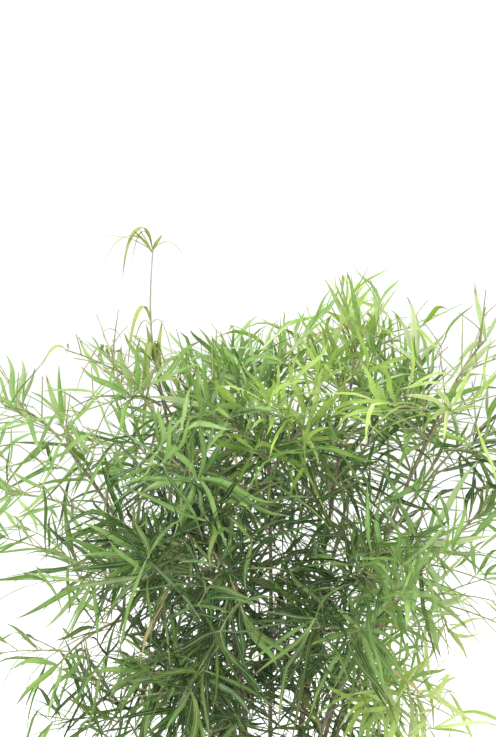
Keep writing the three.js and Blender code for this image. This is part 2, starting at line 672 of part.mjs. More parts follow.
function leafPoint(leaf, share) {
  return leaf.root.clone()
    .addScaledVector(leaf.heading, leaf.length * share)
    .addScaledVector(leaf.across, leaf.sickle * leaf.length * share ** 2)
    .addScaledVector(UP, -leaf.droop * leaf.length * share ** 2);
}

function leafSolid(leaf) {
  const rings = LEAF_SHARES[leaf.age].map((share) => {
    const along = leafPoint(leaf, share + SMALL_STEP).sub(leafPoint(leaf, share)).normalize();
    const across = leaf.across.clone().addScaledVector(along, -leaf.across.dot(along)).normalize();
    const over = new THREE.Vector3().crossVectors(along, across);
    const middle = leafPoint(leaf, share);
    const half = (leafWidth(share) * leaf.width) / 2;
    return [
      middle.clone().addScaledVector(across, half),
      middle.clone().addScaledVector(across, -half),
      middle.clone().addScaledVector(over, -LEAF_KEEL),
    ];
  });
  return loft([[leafPoint(leaf, 0)], ...rings, [leafPoint(leaf, 1)]]);
}

// The room that a leaf takes up
function leafBalls(leaf) {
  const knots = [0, ...LEAF_BALL_SHARES, 1].map((share) => leafPoint(leaf, share));
  return ballsAlong({ knots, reach: leaf.length }, () => LEAF_BALL_RADIUS, FIRST_BALL);
}

// A direction across a heading, rolled about it
function rolled(heading, level, roll) {
  return level.clone().multiplyScalar(Math.cos(roll))
    .addScaledVector(new THREE.Vector3().crossVectors(heading, level), Math.sin(roll));
}

// A leaf that is set by hand, or moved a little where it isn't clear there
function setLeaf({ twig, age, order, row: [share, x, y, z, hang, turn] }) {
  const random = randomFrom(SEEDS.setLeaves + 100 * twig.number + order);
  const width = between(LEAF_WIDTH, random()) * LEAF_SLIMNESS[age];
  const sickle = SET_SICKLE * (2 * random() - 1);
  const root = spotOn(twig.knots, share - (FIRST_LEAF + SET_SPACING * order) / twig.reach).at;
  for (let tries = 0; tries < MOST_TRIES; tries += 1) {
    const heading = new THREE.Vector3(
      x + (random() - 0.5) * tries,
      y + 2 * (random() - 0.5) * tries,
      z + (random() - 0.5) * tries,
    );
    const length = heading.length();
    heading.normalize();
    const across = rolled(heading, new THREE.Vector3().crossVectors(heading, FRONT).normalize(), turn);
    const leaf = { root, heading, across, length, width, sickle, droop: hang / length, age };
    const balls = leafBalls(leaf);
    if (isFree(balls, twig.owner, root)) {
      take(balls, twig.owner);
      return leaf;
    }
  }
  return null;
}

// One leaf of a cluster of so many round an axis, tried in new directions until it is clear
function growLeaf({ root, axis, age, owner, seed, order, count }) {
  const random = randomFrom(seed);
  const first = randomFrom(seed - order)() * TURN;
  const side = acrossOf(axis);
  const over = new THREE.Vector3().crossVectors(side, axis);
  const face = axis.clone().multiplyScalar(FACE_ALONG).addScaledVector(UP, FACE_UP);
  const lift = LEAF_LIFT[age] + TOP_LIFT * THREE.MathUtils.smoothstep(root.z, ...TOP_SPAN);
  const widest = LEAF_OPENING + FACING_OPENING * Math.abs(axis.y);
  const length = between(LEAF_LENGTH, random()) * LEAF_SHORTNESS[age];
  const width = between(LEAF_WIDTH, random()) * LEAF_SLIMNESS[age];
  const sickle = LEAF_SICKLE * (2 * random() - 1);
  const droop = between(LEAF_DROOP[age], random());
  const roll = LEAF_ROLL * (2 * random() - 1);
  for (let tries = 0; tries < MOST_TRIES; tries += 1) {
    const wander = LEAF_WANDER.first + tries / LEAF_WANDER.more;
    const turn = first + (order * TURN) / count + (random() - 0.5) * wander;
    const open = widest * between(OPENING_SPREAD, random());
    const heading = axis.clone().multiplyScalar(Math.cos(open))
      .addScaledVector(side, Math.sin(open) * Math.cos(turn))
      .addScaledVector(over, Math.sin(open) * Math.sin(turn))
      .addScaledVector(UP, lift)
      .normalize();
    const across = rolled(heading, new THREE.Vector3().crossVectors(face, heading).normalize(), roll);
    const leaf = { root, heading, across, length, width, sickle, droop, age };
    const balls = leafBalls(leaf);
    if (isInCrown(balls) && isFree(balls, owner, root)) {
      take(balls, owner);
      return leaf;
    }
  }
  return null;
}

function growCluster(rootAt, axis, age, owner, seed, count) {
  return Array.from({ length: count }, (_, order) => {
    const root = rootAt(order);
    return growLeaf({ root, axis, age, owner, seed: seed + order, order, count });
  }).filter(Boolean);
}

// Leaves stand on a twig's end, a little way in
function tipCluster(twig, age, seed, count) {
  const shareAt = (order) => 1 - (FIRST_LEAF + LEAF_SPACING * order) / twig.reach;
  const rootAt = (order) => spotOn(twig.knots, shareAt(order)).at;
  return growCluster(rootAt, spotOn(twig.knots, 1).along, age, twig.owner, seed, count);
}

function twigBar({ seat, knots }) {
  const radii = knots.map((_, i) => twigRadius(i / TWIG_STEPS));
  return bar([seat, ...knots], [TWIG_BASE_RADIUS, ...radii], TWIG_SIDES);
}

function sideTwigBar({ knots: [root, end] }) {
  const knots = [root, root.clone().lerp(end, SIDE_TWIG_POINT), end];
  return bar(knots, [0, ...SIDE_TWIG_RADII], TWIG_SIDES);
}

// The young shoot goes on from the head of the tall cane
function youngShoot() {
  const { at, along } = spotOn(caneKnots("tall"), 1);
  const seat = at.clone().addScaledVector(along, FIT_GAP);
  const start = seat.clone().addScaledVector(along, TWIG_STUB);
  const top = vector(SHOOT_TOP);
  const reach = start.distanceTo(top);
  const control = start.clone().addScaledVector(along, SHOOT_BOW * reach);
  const shoot = { owner: "young_shoot", seat, reach, knots: knotsOf(start, control, top, SHOOT_STEPS) };
  take(ballsAlong(shoot, () => SHOOT_STEM_RADIUS, 0), shoot.owner);
  return shoot;
}

// The leaves of the young shoot rise, arch over and hang
function shootLeaves({ owner, knots }) {
  return SHOOT_LEAVES.map(([share, headed, hang, width]) => {
    const root = spotOn(knots, share).at;
    const heading = vector(headed);
    const length = heading.length();
    heading.normalize();
    const level = new THREE.Vector3(heading.x, heading.y, 0).normalize();
    const across = new THREE.Vector3().crossVectors(level, UP)
      .addScaledVector(level, SHOOT_LEAF_TURN)
      .normalize();
    const leaf = { root, heading, across, length, width, sickle: 0, droop: hang / length, age: "young" };
    take(leafBalls(leaf), owner);
    return leaf;
  });
}

// Everything is planned in one fixed order, so that each piece keeps clear of those before it
const canes = Object.keys(CANES).map((name) => ({ name, knots: caneKnots(name) }));
for (const { name, knots } of canes) {
  const reach = knots[0].distanceTo(knots[CANE_STEPS]);
  take(ballsAlong({ knots, reach }, caneRadius, 0), `cane_${name}`);
}
const shoot = youngShoot();
shoot.leaves = shootLeaves(shoot);
const counts = {};
const sprays = SPRAYS.map(([caneName, , , age, tipLeaves], number) => {
  counts[caneName] = (counts[caneName] ?? 0) + 1;
  return { name: `${caneName}_${counts[caneName]}`, twig: mainTwig(number), age, tipLeaves };
});
for (const spray of sprays) {
  const rows = SET_LEAVES[spray.name] ?? [];
  spray.leaves = rows.map((row, order) => setLeaf({ ...spray, order, row })).filter(Boolean);
}
for (const spray of sprays) {
  spray.sides = SIDE_TWIG_SHARES.map((_, order) => sideTwig(spray.twig, order)).filter(Boolean);
}
for (const spray of sprays) {
  const seed = SEEDS.tipLeaves + 100 * spray.twig.number;
  const count = spray.name in SET_LEAVES ? 0 : spray.tipLeaves;
  spray.leaves.push(...tipCluster(spray.twig, spray.age, seed, count));
}
for (const spray of sprays) {
  const count = LEAVES_AT_SIDE_TIP[spray.tipLeaves > FEW_AT_TIP ? "many" : "few"];
  spray.sides.forEach((side, order) => {
    const seed = SEEDS.sideLeaves + 100 * spray.twig.number + 10 * order;
    spray.leaves.push(...tipCluster(side, spray.age, seed, count));
  });
}

// The model
const plant = new THREE.Group();
plant.add(meshOf("pot", potSolid(), MATERIALS.pot));

const soil = canes.reduce((left, { knots }) => left.subtract(socketBar(knots)), soilSolid());
plant.add(meshOf("soil", soil, MATERIALS.soil));

canes.forEach(({ name, knots }, i) => {
  const solid = joined([caneBar(knots), ...spineSolids(knots, randomFrom(SEEDS.spines + i))]);
  plant.add(meshOf(`cane_${name}`, solid, MATERIALS.cane));
});

const stemRadii = Array.from({ length: SHOOT_STEPS + 2 }, () => SHOOT_STEM_RADIUS);
const shootStem = bar([shoot.seat, ...shoot.knots], stemRadii, TWIG_SIDES);
plant.add(meshOf("young_shoot", joined([shootStem, ...shoot.leaves.map(leafSolid)]), MATERIALS.young));

for (const { name, twig, sides, leaves, age } of sprays) {
  const solid = joined([twigBar(twig), ...sides.map(sideTwigBar), ...leaves.map(leafSolid)]);
  plant.add(meshOf(`spray_${name}`, solid, MATERIALS[age]));
}

export default plant;
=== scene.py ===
import math
from dataclasses import dataclass, field
from itertools import combinations, product

import bpy
import numpy as np
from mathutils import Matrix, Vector


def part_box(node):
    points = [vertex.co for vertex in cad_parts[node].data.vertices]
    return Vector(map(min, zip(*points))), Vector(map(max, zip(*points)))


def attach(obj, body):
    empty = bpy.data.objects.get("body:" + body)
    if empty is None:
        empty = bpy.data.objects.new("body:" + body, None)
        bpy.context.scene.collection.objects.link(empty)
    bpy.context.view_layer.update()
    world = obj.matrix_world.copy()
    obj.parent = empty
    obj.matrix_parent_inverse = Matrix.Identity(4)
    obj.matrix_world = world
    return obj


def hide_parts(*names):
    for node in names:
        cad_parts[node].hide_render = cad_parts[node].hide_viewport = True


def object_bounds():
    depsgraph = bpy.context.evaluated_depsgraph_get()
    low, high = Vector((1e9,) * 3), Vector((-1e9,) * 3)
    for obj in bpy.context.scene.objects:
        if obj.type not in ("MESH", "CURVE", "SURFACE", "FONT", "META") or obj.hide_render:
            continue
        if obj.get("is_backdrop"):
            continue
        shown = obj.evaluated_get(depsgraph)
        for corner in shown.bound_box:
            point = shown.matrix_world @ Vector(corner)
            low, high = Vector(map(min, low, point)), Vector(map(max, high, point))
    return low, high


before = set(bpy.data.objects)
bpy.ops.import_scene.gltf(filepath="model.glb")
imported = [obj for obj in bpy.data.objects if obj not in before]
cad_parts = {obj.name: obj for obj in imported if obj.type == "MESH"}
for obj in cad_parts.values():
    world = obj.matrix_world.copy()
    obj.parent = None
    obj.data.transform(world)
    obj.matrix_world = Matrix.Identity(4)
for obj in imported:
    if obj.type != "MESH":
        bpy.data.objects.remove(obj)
cad_low, cad_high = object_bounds()
scene = bpy.context.scene

# Pot
# A plain round nursery pot, injection moulded in dark matte plastic. Its rim is a thicker band
# with a rounded lip, and water drains through six holes in its flat floor.
pot_low, pot_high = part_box("pot")
POT_HEIGHT = pot_high.z
BAND_RADIUS = pot_high.x
FOOT_RADIUS = 0.070
POT_WALL = 0.003
POT_FLOOR = 0.004
BAND_HEIGHT = 0.024
BAND_PROUD = 0.0035
POT_SIDES = 128
DRAIN_HOLES = 6
DRAIN_HOLE_RADIUS = 0.005
DRAIN_RING_RADIUS = 0.046
DRAIN_HOLE_SIDES = 24
DRILL_REACH = 0.01
FOOT_RECESS = 0.0012
ROUNDING_STEPS = 6
DUST_HEIGHT = 0.07
RIM_DUST_HEIGHT = 0.012
SHARP_ANGLE = math.radians(50)
TURN = 2 * math.pi


def tint(code):
    """A screen colour such as 0x35383a as the linear colour that a shader takes."""
    parts = [((code >> shift) & 255) / 255 for shift in (16, 8, 0)]
    return (*(p / 12.92 if p <= 0.04045 else ((p + 0.055) / 1.055) ** 2.4 for p in parts), 1)


def give(tree, socket, value):
    if isinstance(value, bpy.types.NodeSocket):
        tree.links.new(value, socket)
    else:
        socket.default_value = value


def add(tree, kind, inputs, **settings):
    """A shader node with its settings, and each input linked or set."""
    node = tree.nodes.new("ShaderNode" + kind)
    for name, value in settings.items():
        setattr(node, name, value)
    for name, value in inputs.items():
        give(tree, node.inputs[name], value)
    return node


def mixed(tree, share, first, second):
    """A colour between two others."""
    return add(tree, "Mix", {0: share, 6: first, 7: second}, data_type="RGBA").outputs[2]


def sums(tree, operation, first, second):
    return add(tree, "Math", {0: first, 1: second}, operation=operation).outputs[0]


def rises(tree, value, start, end, low=0.0, high=1.0):
    """Goes from low to high as the value goes from start to end."""
    span = {"Value": value, "From Min": start, "From Max": end, "To Min": low, "To Max": high}
    return add(tree, "MapRange", span, interpolation_type="SMOOTHSTEP").outputs["Result"]


def new_group(name, inputs, outputs):
    """A node group with its sockets, each given as a label, a kind and a value."""
    tree = bpy.data.node_groups.new(name, "ShaderNodeTree")
    for label, kind, value in inputs:
        socket = tree.interface.new_socket(label, in_out="INPUT", socket_type="NodeSocket" + kind)
        if value is not None:
            socket.default_value = value
    for label, kind in outputs:
        tree.interface.new_socket(label, in_out="OUTPUT", socket_type="NodeSocket" + kind)
    return tree, tree.nodes.new("NodeGroupInput").outputs, tree.nodes.new("NodeGroupOutput").inputs


def place_group(tree, group, inputs):
    node = tree.nodes.new("ShaderNodeGroup")
    node.node_tree = group
    for name, value in inputs.items():
        give(tree, node.inputs[name], value)
    return node.outputs


def new_material(name):
    material = bpy.data.materials.new(name)
    material.use_nodes = True
    return material, material.node_tree, material.node_tree.nodes["Principled BSDF"]


def dress(tree, shader, color, roughness, normal):
    for name, value in {"Base Color": color, "Roughness": roughness, "Normal": normal}.items():
        give(tree, shader.inputs[name], value)


def new_piece(name, points, faces, *materials):
    mesh = bpy.data.meshes.new(name)
    mesh.from_pydata(points, [], faces)
    mesh.shade_smooth()
    mesh.set_sharp_from_angle(angle=SHARP_ANGLE)
    for material in materials:
        mesh.materials.append(material)
    made = bpy.data.objects.new(name, mesh)
    scene.collection.objects.link(made)
    return made


def fit(piece, slot, *nodes):
    """The piece rides on the plant, and may stand for solids, which it hides. The slot is not used.
    """
    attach(piece, "root")
    if nodes:
        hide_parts(*nodes)


def mottle_group():
    """Soft patches at any scale, for plastic, soil and bark alike."""
    inputs = [("Place", "Vector", None), ("Scale", "Float", 20.0), ("Contrast", "Float", 0.3)]
    tree, given, made = new_group("mottle", inputs, [("Share", "Float")])
    noise = {"Vector": given["Place"], "Scale": given["Scale"], "Detail": 5.0}
    noise = add(tree, "TexNoise", noise).outputs["Fac"]
    half = sums(tree, "MULTIPLY", given["Contrast"], 0.5)
    low, high = (sums(tree, operation, 0.5, half) for operation in ("SUBTRACT", "ADD"))
    tree.links.new(rises(tree, noise, low, high), made["Share"])
    return tree


MOTTLE = mottle_group()


def mottle(tree, place, scale, contrast):
    inputs = {"Place": place, "Scale": scale, "Contrast": contrast}
    return place_group(tree, MOTTLE, inputs)["Share"]


def pot_material():
    material, tree, shader = new_material("moulded_plastic")
    place = add(tree, "TexCoord", {}).outputs["Object"]
    height = add(tree, "SeparateXYZ", {0: place}).outputs["Z"]
    patches = mottle(tree, place, 22.0, 0.4)
    smudges = mottle(tree, place, 70.0, 0.25)
    grain = mottle(tree, place, 1500.0, 0.6)
    low_down = rises(tree, height, 0.0, DUST_HEIGHT, 0.55, 0.08)
    at_rim = rises(tree, height, POT_HEIGHT - RIM_DUST_HEIGHT, POT_HEIGHT, 0.0, 0.3)
    dust = sums(tree, "MULTIPLY", smudges, sums(tree, "ADD", low_down, at_rim))
    plastic = mixed(tree, patches, tint(0x2a2c2e), tint(0x36393b))
    color = mixed(tree, dust, plastic, tint(0x77705f))
    roughness = rises(tree, patches, 0.0, 1.0, 0.48, 0.62)
    bump = add(tree, "Bump", {"Strength": 0.25, "Distance": 0.0003, "Height": grain})
    dress(tree, shader, color, roughness, bump.outputs["Normal"])
    return material


def bend(start, control, end, share):
    """The point at a share of the way along a curve with one control point."""
    first, second, third = (1 - share) ** 2, 2 * share * (1 - share), share**2
    return tuple(a * first + b * second + c * third for a, b, c in zip(start, control, end))


def rounded(corners):
    """An outline through corners (radius, height, rounding), with each one cut by a short curve."""
    outline = []
    for i, (radius, height, rounding) in enumerate(corners):
        here = np.array((radius, height))
        if rounding == 0:
            outline.append(here)
            continue
        before, after = (np.array(corners[i + step][:2]) - here for step in (-1, 1))
        start = here + before / np.linalg.norm(before) * rounding
        end = here + after / np.linalg.norm(after) * rounding
        outline += [bend(start, here, end, share) for share in np.linspace(0, 1, ROUNDING_STEPS)]
    return outline


def turned(outline, sides):
    """Points and faces of an outline turned round the upright axis, where its ends lie."""
    points, rings, faces = [], [], []
    for radius, height in outline:
        count = sides if radius > 0 else 1
        rings.append((len(points), count))
        for k in range(count):
            angle = k * TURN / sides
            points.append((radius * math.cos(angle), radius * math.sin(angle), height))
    for (here, a), (ahead, b) in zip(rings, rings[1:]):
        for k in range(sides):
            after = (k + 1) % sides
            if a == 1:
                faces.append((here, ahead + after, ahead + k))
            elif b == 1:
                faces.append((here + k, here + after, ahead))
            else:
                faces.append((here + k, here + after, ahead + after, ahead + k))
    return points, faces


def shifted(points, x, y, z):
    return [(px + x, py + y, pz + z) for px, py, pz in points]


def joined(parts):
    """Several lists of points and faces as one."""
    points, faces = [], []
    for part_points, part_faces in parts:
        faces += [[len(points) + corner for corner in face] for face in part_faces]
        points += part_points
    return points, faces


def pot_radius(height):
    """The outer radius of the body below the band."""
    return FOOT_RADIUS + (BAND_RADIUS - BAND_PROUD - FOOT_RADIUS) * height / POT_HEIGHT


def pot_outline():
    """The wall's outline. Each corner is a radius, a height and how far it is rounded."""
    band_foot = POT_HEIGHT - BAND_HEIGHT
    body = pot_radius(band_foot)
    return rounded([
        (0, FOOT_RECESS, 0),
        (FOOT_RADIUS - 0.006, FOOT_RECESS, 0.0005),
        (FOOT_RADIUS - 0.005, 0, 0.0005),
        (FOOT_RADIUS, 0, 0.0012),
        (body, band_foot, 0.001),
        (body + BAND_PROUD, band_foot + 0.002, 0.0012),
        (BAND_RADIUS - 0.0004, POT_HEIGHT - 0.005, 0.001),
        (BAND_RADIUS, POT_HEIGHT - 0.004, 0.0006),
        (BAND_RADIUS, POT_HEIGHT, 0.0018),
        (BAND_RADIUS - BAND_PROUD - POT_WALL, POT_HEIGHT, 0.0012),
        (pot_radius(POT_FLOOR) - POT_WALL, POT_FLOOR, 0.002),
        (0, POT_FLOOR, 0),
    ])


def drill_holes(pot):
    corners = ((0, -1), (DRAIN_HOLE_RADIUS, -1), (DRAIN_HOLE_RADIUS, 1), (0, 1))
    drill = [(radius, side * DRILL_REACH) for radius, side in corners]
    points, faces = turned(drill, DRAIN_HOLE_SIDES)
    parts = []
    for i in range(DRAIN_HOLES):
        angle = (i + 0.5) * TURN / DRAIN_HOLES
        x, y = DRAIN_RING_RADIUS * math.cos(angle), DRAIN_RING_RADIUS * math.sin(angle)
        parts.append((shifted(points, x, y, 0), faces))
    drills = new_piece("drills", *joined(parts))
    cut = pot.modifiers.new("drain_holes", "BOOLEAN")
    cut.operation = "DIFFERENCE"
    cut.object = drills
    cut.solver = "EXACT"
    evaluated = pot.evaluated_get(bpy.context.evaluated_depsgraph_get())
    drilled = bpy.data.meshes.new_from_object(evaluated)
    pot.modifiers.clear()
    pot.data = drilled
    pot.data.set_sharp_from_angle(angle=SHARP_ANGLE)
    bpy.data.objects.remove(drills)


pot = new_piece("nursery_pot", *turned(pot_outline(), POT_SIDES), pot_material())
drill_holes(pot)
fit(pot, "pot", "pot")

# Soil
# Dark peaty potting soil, loose and crumbly, with chips of bark and a few white perlite grains.
# It fills the pot to a little below its rim, and has sunk a little towards the wall.
soil_low, soil_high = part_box("soil")
SOIL_SIDES = 120
SOIL_RINGS = 44
SOIL_EDGE_DROP = 0.004
SOIL_ROUGH = 0.0016
SOIL_GAP = 0.0004
SINK_START = 0.75
HUMP_SHARE = 0.45
CRUMBS = 900
CHIPS = 150
PERLITE = 70
CRUMB_SIZE = (0.0012, 0.0034)
CHIP_SIZE = (0.003, 0.0065)
PERLITE_SIZE = (0.001, 0.0019)
LUMP_EDGE = 2.01
LUMP_PUSH = (0.4, 0.65)
LUMP_MARGIN = 0.004
LUMP_LIFT = 0.0004
STATES = 2**32
STATE_FACTOR = 1664525
STATE_STEP = 1013904223
SEED_FACTOR = 7919
SEED_START = 104729
WARM_UP = 6


def random_from(seed):
    """Repeatable random numbers, from 0 to 1."""
    state = (seed * SEED_FACTOR + SEED_START) % STATES

    def draw():
        nonlocal state
        state = (state * STATE_FACTOR + STATE_STEP) % STATES
        return state / STATES

    for _ in range(WARM_UP):
        draw()
    return draw


def between(span, share):
    return span[0] + (span[1] - span[0]) * share


def soil_material(name, dark, pale, grain_scale):
    material, tree, shader = new_material(name)
    place = add(tree, "TexCoord", {}).outputs["Object"]
    patches = mottle(tree, place, 60.0, 0.5)
    grain = mottle(tree, place, grain_scale, 0.5)
    color = mixed(tree, sums(tree, "MULTIPLY", patches, grain), tint(dark), tint(pale))
    bump = add(tree, "Bump", {"Strength": 0.7, "Distance": 0.0006, "Height": grain})
    roughness = rises(tree, grain, 0.0, 1.0, 0.98, 0.86)
    dress(tree, shader, color, roughness, bump.outputs["Normal"])
    return material


def soil_height(x, y):
    """The soil's top: level in the middle, lower at the wall, with soft humps."""
    out = math.hypot(x, y) / soil_high.x
    sunk = SOIL_EDGE_DROP * max(0.0, out - SINK_START) / (1 - SINK_START)
    humps = (
        math.sin(140 * x + 2.1) * math.sin(120 * y + 0.4)
        + 0.6 * math.sin(310 * x - 90 * y)
        + 0.5 * math.sin(260 * y + 170 * x + 1.3)
    )
    return soil_high.z - SOIL_ROUGH - sunk + SOIL_ROUGH * HUMP_SHARE * humps


def soil_body():
    """The top as rings that get their own heights, then the side and the bottom."""
    lowest = soil_low.z
    outline = [(soil_high.x * (i / SOIL_RINGS), 0.0) for i in range(SOIL_RINGS + 1)]
    foot = pot_radius(lowest) - POT_WALL - SOIL_GAP
    points, faces = turned([*outline, (foot, lowest), (0, lowest)], SOIL_SIDES)
    wall = min(soil_high.x, pot_radius(soil_high.z - SOIL_EDGE_DROP) - POT_WALL - SOIL_GAP)
    share = wall / soil_high.x
    top = 1 + SOIL_RINGS * SOIL_SIDES
    shaped = [(x * share, y * share, soil_height(x, y)) for x, y, _ in points[:top]]
    return shaped + points[top:], [face[::-1] for face in faces]


def lump(random, size, flatness):
    """A rough lump round the origin: a twenty-sided ball with its corners pushed about."""
    golden = (1 + math.sqrt(5)) / 2
    corners = [(0, a, b * golden) for a in (-1, 1) for b in (-1, 1)]
    corners += [(a, b * golden, 0) for a in (-1, 1) for b in (-1, 1)]
    corners += [(b * golden, 0, a) for a in (-1, 1) for b in (-1, 1)]
    faces = []
    for i, j, k in combinations(range(len(corners)), 3):
        a, b, c = (Vector(corners[n]) for n in (i, j, k))
        if max((b - a).length, (c - b).length, (c - a).length) < LUMP_EDGE:
            out = (b - a).cross(c - a).dot(a + b + c)
            faces.append((i, j, k) if out > 0 else (i, k, j))
    spin = random() * TURN
    stretch = 1 + random()
    points = []
    for x, y, z in corners:
        push = size * between(LUMP_PUSH, random()) / golden
        px, py = x * push * stretch, y * push
        turned_x = px * math.cos(spin) - py * math.sin(spin)
        turned_y = px * math.sin(spin) + py * math.cos(spin)
        points.append((turned_x, turned_y, z * push * flatness))
    return points, faces


def scatter(count, sizes, flatness, seed):
    """Lumps that lie half sunk all over the soil."""
    random = random_from(seed)
    for _ in range(count):
        radius = (soil_high.x - LUMP_MARGIN) * math.sqrt(random())
        angle = random() * TURN
        x, y = radius * math.cos(angle), radius * math.sin(angle)
        points, faces = lump(random, between(sizes, random() ** 2), flatness)
        yield shifted(points, x, y, soil_height(x, y) + LUMP_LIFT), faces


def build_soil():
    peat = soil_material("peat", 0x1d140d, 0x4a3524, 900.0)
    bark = soil_material("bark_chip", 0x4b3020, 0x8a6444, 600.0)
    perlite = soil_material("perlite", 0xb9b4a8, 0xe6e3da, 1200.0)
    batches = [
        [soil_body()],
        [*scatter(CRUMBS, CRUMB_SIZE, 0.8, 41)],
        [*scatter(CHIPS, CHIP_SIZE, 0.35, 42)],
        [*scatter(PERLITE, PERLITE_SIZE, 0.9, 43)],
    ]
    kinds = []
    for kind, batch in zip((0, 0, 1, 2), batches):
        kinds += [kind] * sum(len(faces) for _, faces in batch)
    parts = [part for batch in batches for part in batch]
    soil = new_piece("potting_soil", *joined(parts), peat, bark, perlite)
    soil.data.polygons.foreach_set("material_index", kinds)
    fit(soil, "soil", "soil")


build_soil()

# Canes
# Twelve woody canes, grey-brown and finely ridged, with a knuckle wherever a spray leaves and
# short hooked spines below. They stand in the soil and arch out to all sides.
MM = 0.001
SOIL_LEVEL = 150
CANE_DEPTH = 46
CANE_STEPS = 9
CANE_FOOT_RADIUS = 2.7
CANE_HEAD_RADIUS = 1.5
CANE_SIDES = 14
CANE_RINGS = 90
SPINES_PER_CANE = 4
SPINE_LENGTH = 6
GOLDEN_TURN = 2.4
UP = (0.0, 0.0, 1.0)
ORIGIN = (0.0, 0.0, 0.0)
FIT_GAP = 0.3
LEAST_LEVEL = 0.25
CANE_SLIMNESS = 0.92
CANE_RIDGE = 0.05
RIDGES = 5
RIDGE_TWIST = 0.3
KNUCKLE_SWELL = 0.35
KNUCKLE_LENGTH = 0.008
SPINE_SPAN = (0.26, 0.76)
SPINE_JITTER = 0.3
SPINE_BEND = 0.6
SPINE_HOOK = 2.5
SPINE_RADII = (1.1, 0.9, 0.72, 0.55, 0.38, 0.2, 0.04)
SPINE_SIDES = 8
SPINE_SEED = 500

# Each cane: where it leaves the soil, the middle of its line, and its head
CANES = {
    "tall": [(-14, 8), (-60, -4, 390), (-104, -12, 618)],
    "far_left": [(-31, -6), (-98, -22, 372), (-196, -34, 552)],
    "low_left": [(-33, 13), (-92, 56, 300), (-180, 84, 384)],
    "mid_left": [(-9, 25), (-31, 52, 380), (-36, 64, 566)],
    "centre": [(5, -8), (9, -24, 376), (4, -34, 570)],
    "peak": [(20, 5), (56, 12, 386), (90, 2, 612)],
    "right": [(31, -9), (96, -26, 376), (176, -42, 586)],
    "low_right": [(36, 12), (110, 56, 322), (198, 74, 438)],
    "front": [(-6, -30), (-22, -92, 334), (-46, -154, 460)],
    "front_right": [(17, -27), (62, -88, 290), (110, -142, 392)],
    "back_left": [(-21, 31), (-66, 106, 346), (-112, 164, 500)],
    "back_right": [(20, 34), (62, 108, 346), (106, 162, 516)],
}

# The sprays of each cane: how far up the cane each leaves it, where its twig ends, and how
# many leaves stand at its tip
SPRAYS = {
    "tall": [
        (0.93, (-132, -62, 600), 7), (0.86, (-160, 16, 640), 5), (0.74, (-61, -172, 532), 9),
        (0.58, (-28, -166, 446), 7),
    ],
    "far_left": [
        (1, (-242, -44, 590), 4), (0.86, (-204, 24, 566), 4), (0.74, (-248, -66, 506), 4),
        (0.56, (-170, -92, 423), 6), (0.4, (-114, -114, 344), 4),
    ],
    "low_left": [
        (1, (-214, 96, 430), 3), (0.78, (-208, 14, 320), 4), (0.46, (-154, 4, 256), 4),
    ],
    "mid_left": [
        (1, (-28, 52, 606), 5), (0.88, (-88, 116, 568), 4), (0.8, (4, 118, 536), 4),
    ],
    "centre": [
        (1, (-6, -42, 615), 5), (0.9, (-54, -84, 595), 5), (0.84, (42, -96, 576), 6),
    ],
    "peak": [
        (1, (96, -2, 654), 8), (0.92, (68, -34, 632), 5), (0.84, (130, 56, 594), 4),
        (0.7, (70, 92, 536), 4),
    ],
    "right": [
        (1, (219, -48, 656), 3), (0.92, (150, -92, 642), 5), (0.84, (177, -134, 596), 7),
        (0.7, (228, -6, 572), 3), (0.58, (156, -116, 468), 4),
    ],
    "low_right": [
        (1, (232, 76, 470), 3), (0.8, (188, -4, 358), 5), (0.6, (164, -60, 389), 5),
    ],
    "front": [
        (1, (-18, -196, 412), 4), (0.88, (-106, -152, 459), 8), (0.7, (-80, -156, 314), 6),
        (0.5, (-30, -164, 258), 5),
    ],
    "front_right": [
        (1, (120, -178, 433), 6), (0.82, (89, -196, 397), 7), (0.6, (153, -124, 318), 6),
    ],
    "back_left": [
        (1, (-140, 190, 532), 5), (0.86, (-38, 214, 490), 4), (0.7, (-146, 196, 388), 4),
        (0.48, (-78, 158, 268), 4),
    ],
    "back_right": [
        (1, (140, 186, 552), 5), (0.86, (42, 220, 496), 5), (0.7, (148, 200, 410), 4),
        (0.48, (72, 164, 276), 4),
    ],
}

# The sprays whose leaves aren't mature
AGES = {
    "tall_2": "young", "centre_3": "fresh", "peak_1": "fresh", "peak_2": "fresh",
    "right_3": "fresh", "low_right_2": "fresh", "front_right_3": "fresh",
}


def moved(point, direction, reach):
    return (
        point[0] + direction[0] * reach,
        point[1] + direction[1] * reach,
        point[2] + direction[2] * reach,
    )


def less(a, b):
    return (a[0] - b[0], a[1] - b[1], a[2] - b[2])


def dot(a, b):
    return a[0] * b[0] + a[1] * b[1] + a[2] * b[2]


def crossed(a, b):
    return (a[1] * b[2] - a[2] * b[1], a[2] * b[0] - a[0] * b[2], a[0] * b[1] - a[1] * b[0])


def unit(a):
    size = math.sqrt(dot(a, a)) or 1.0
    return (a[0] / size, a[1] / size, a[2] / size)


def across_of(direction):
    """A direction at right angles to another: level, or along X where the other is upright."""
    across = crossed(direction, UP)
    if math.sqrt(dot(across, across)) < LEAST_LEVEL:
        across = moved((1.0, 0.0, 0.0), direction, -direction[0])
    return unit(across)


def rolled(heading, level, roll):
    """A direction across a heading, rolled about it."""
    return moved(moved(ORIGIN, level, math.cos(roll)), crossed(heading, level), math.sin(roll))


def swung(along, across, angle, turn):
    """A direction that opens from another by an angle, turned round it."""
    opened = moved(ORIGIN, along, math.cos(angle))
    opened = moved(opened, across, math.sin(angle) * math.cos(turn))
    return moved(opened, crossed(across, along), math.sin(angle) * math.sin(turn))


def arched(start, end, rise):
    """The control point of a curve that rises over the straight line between its ends."""
    return moved(moved(start, less(end, start), 0.5), UP, rise)


def knots_of(start, control, end, steps):
    return [bend(start, control, end, i / steps) for i in range(steps + 1)]


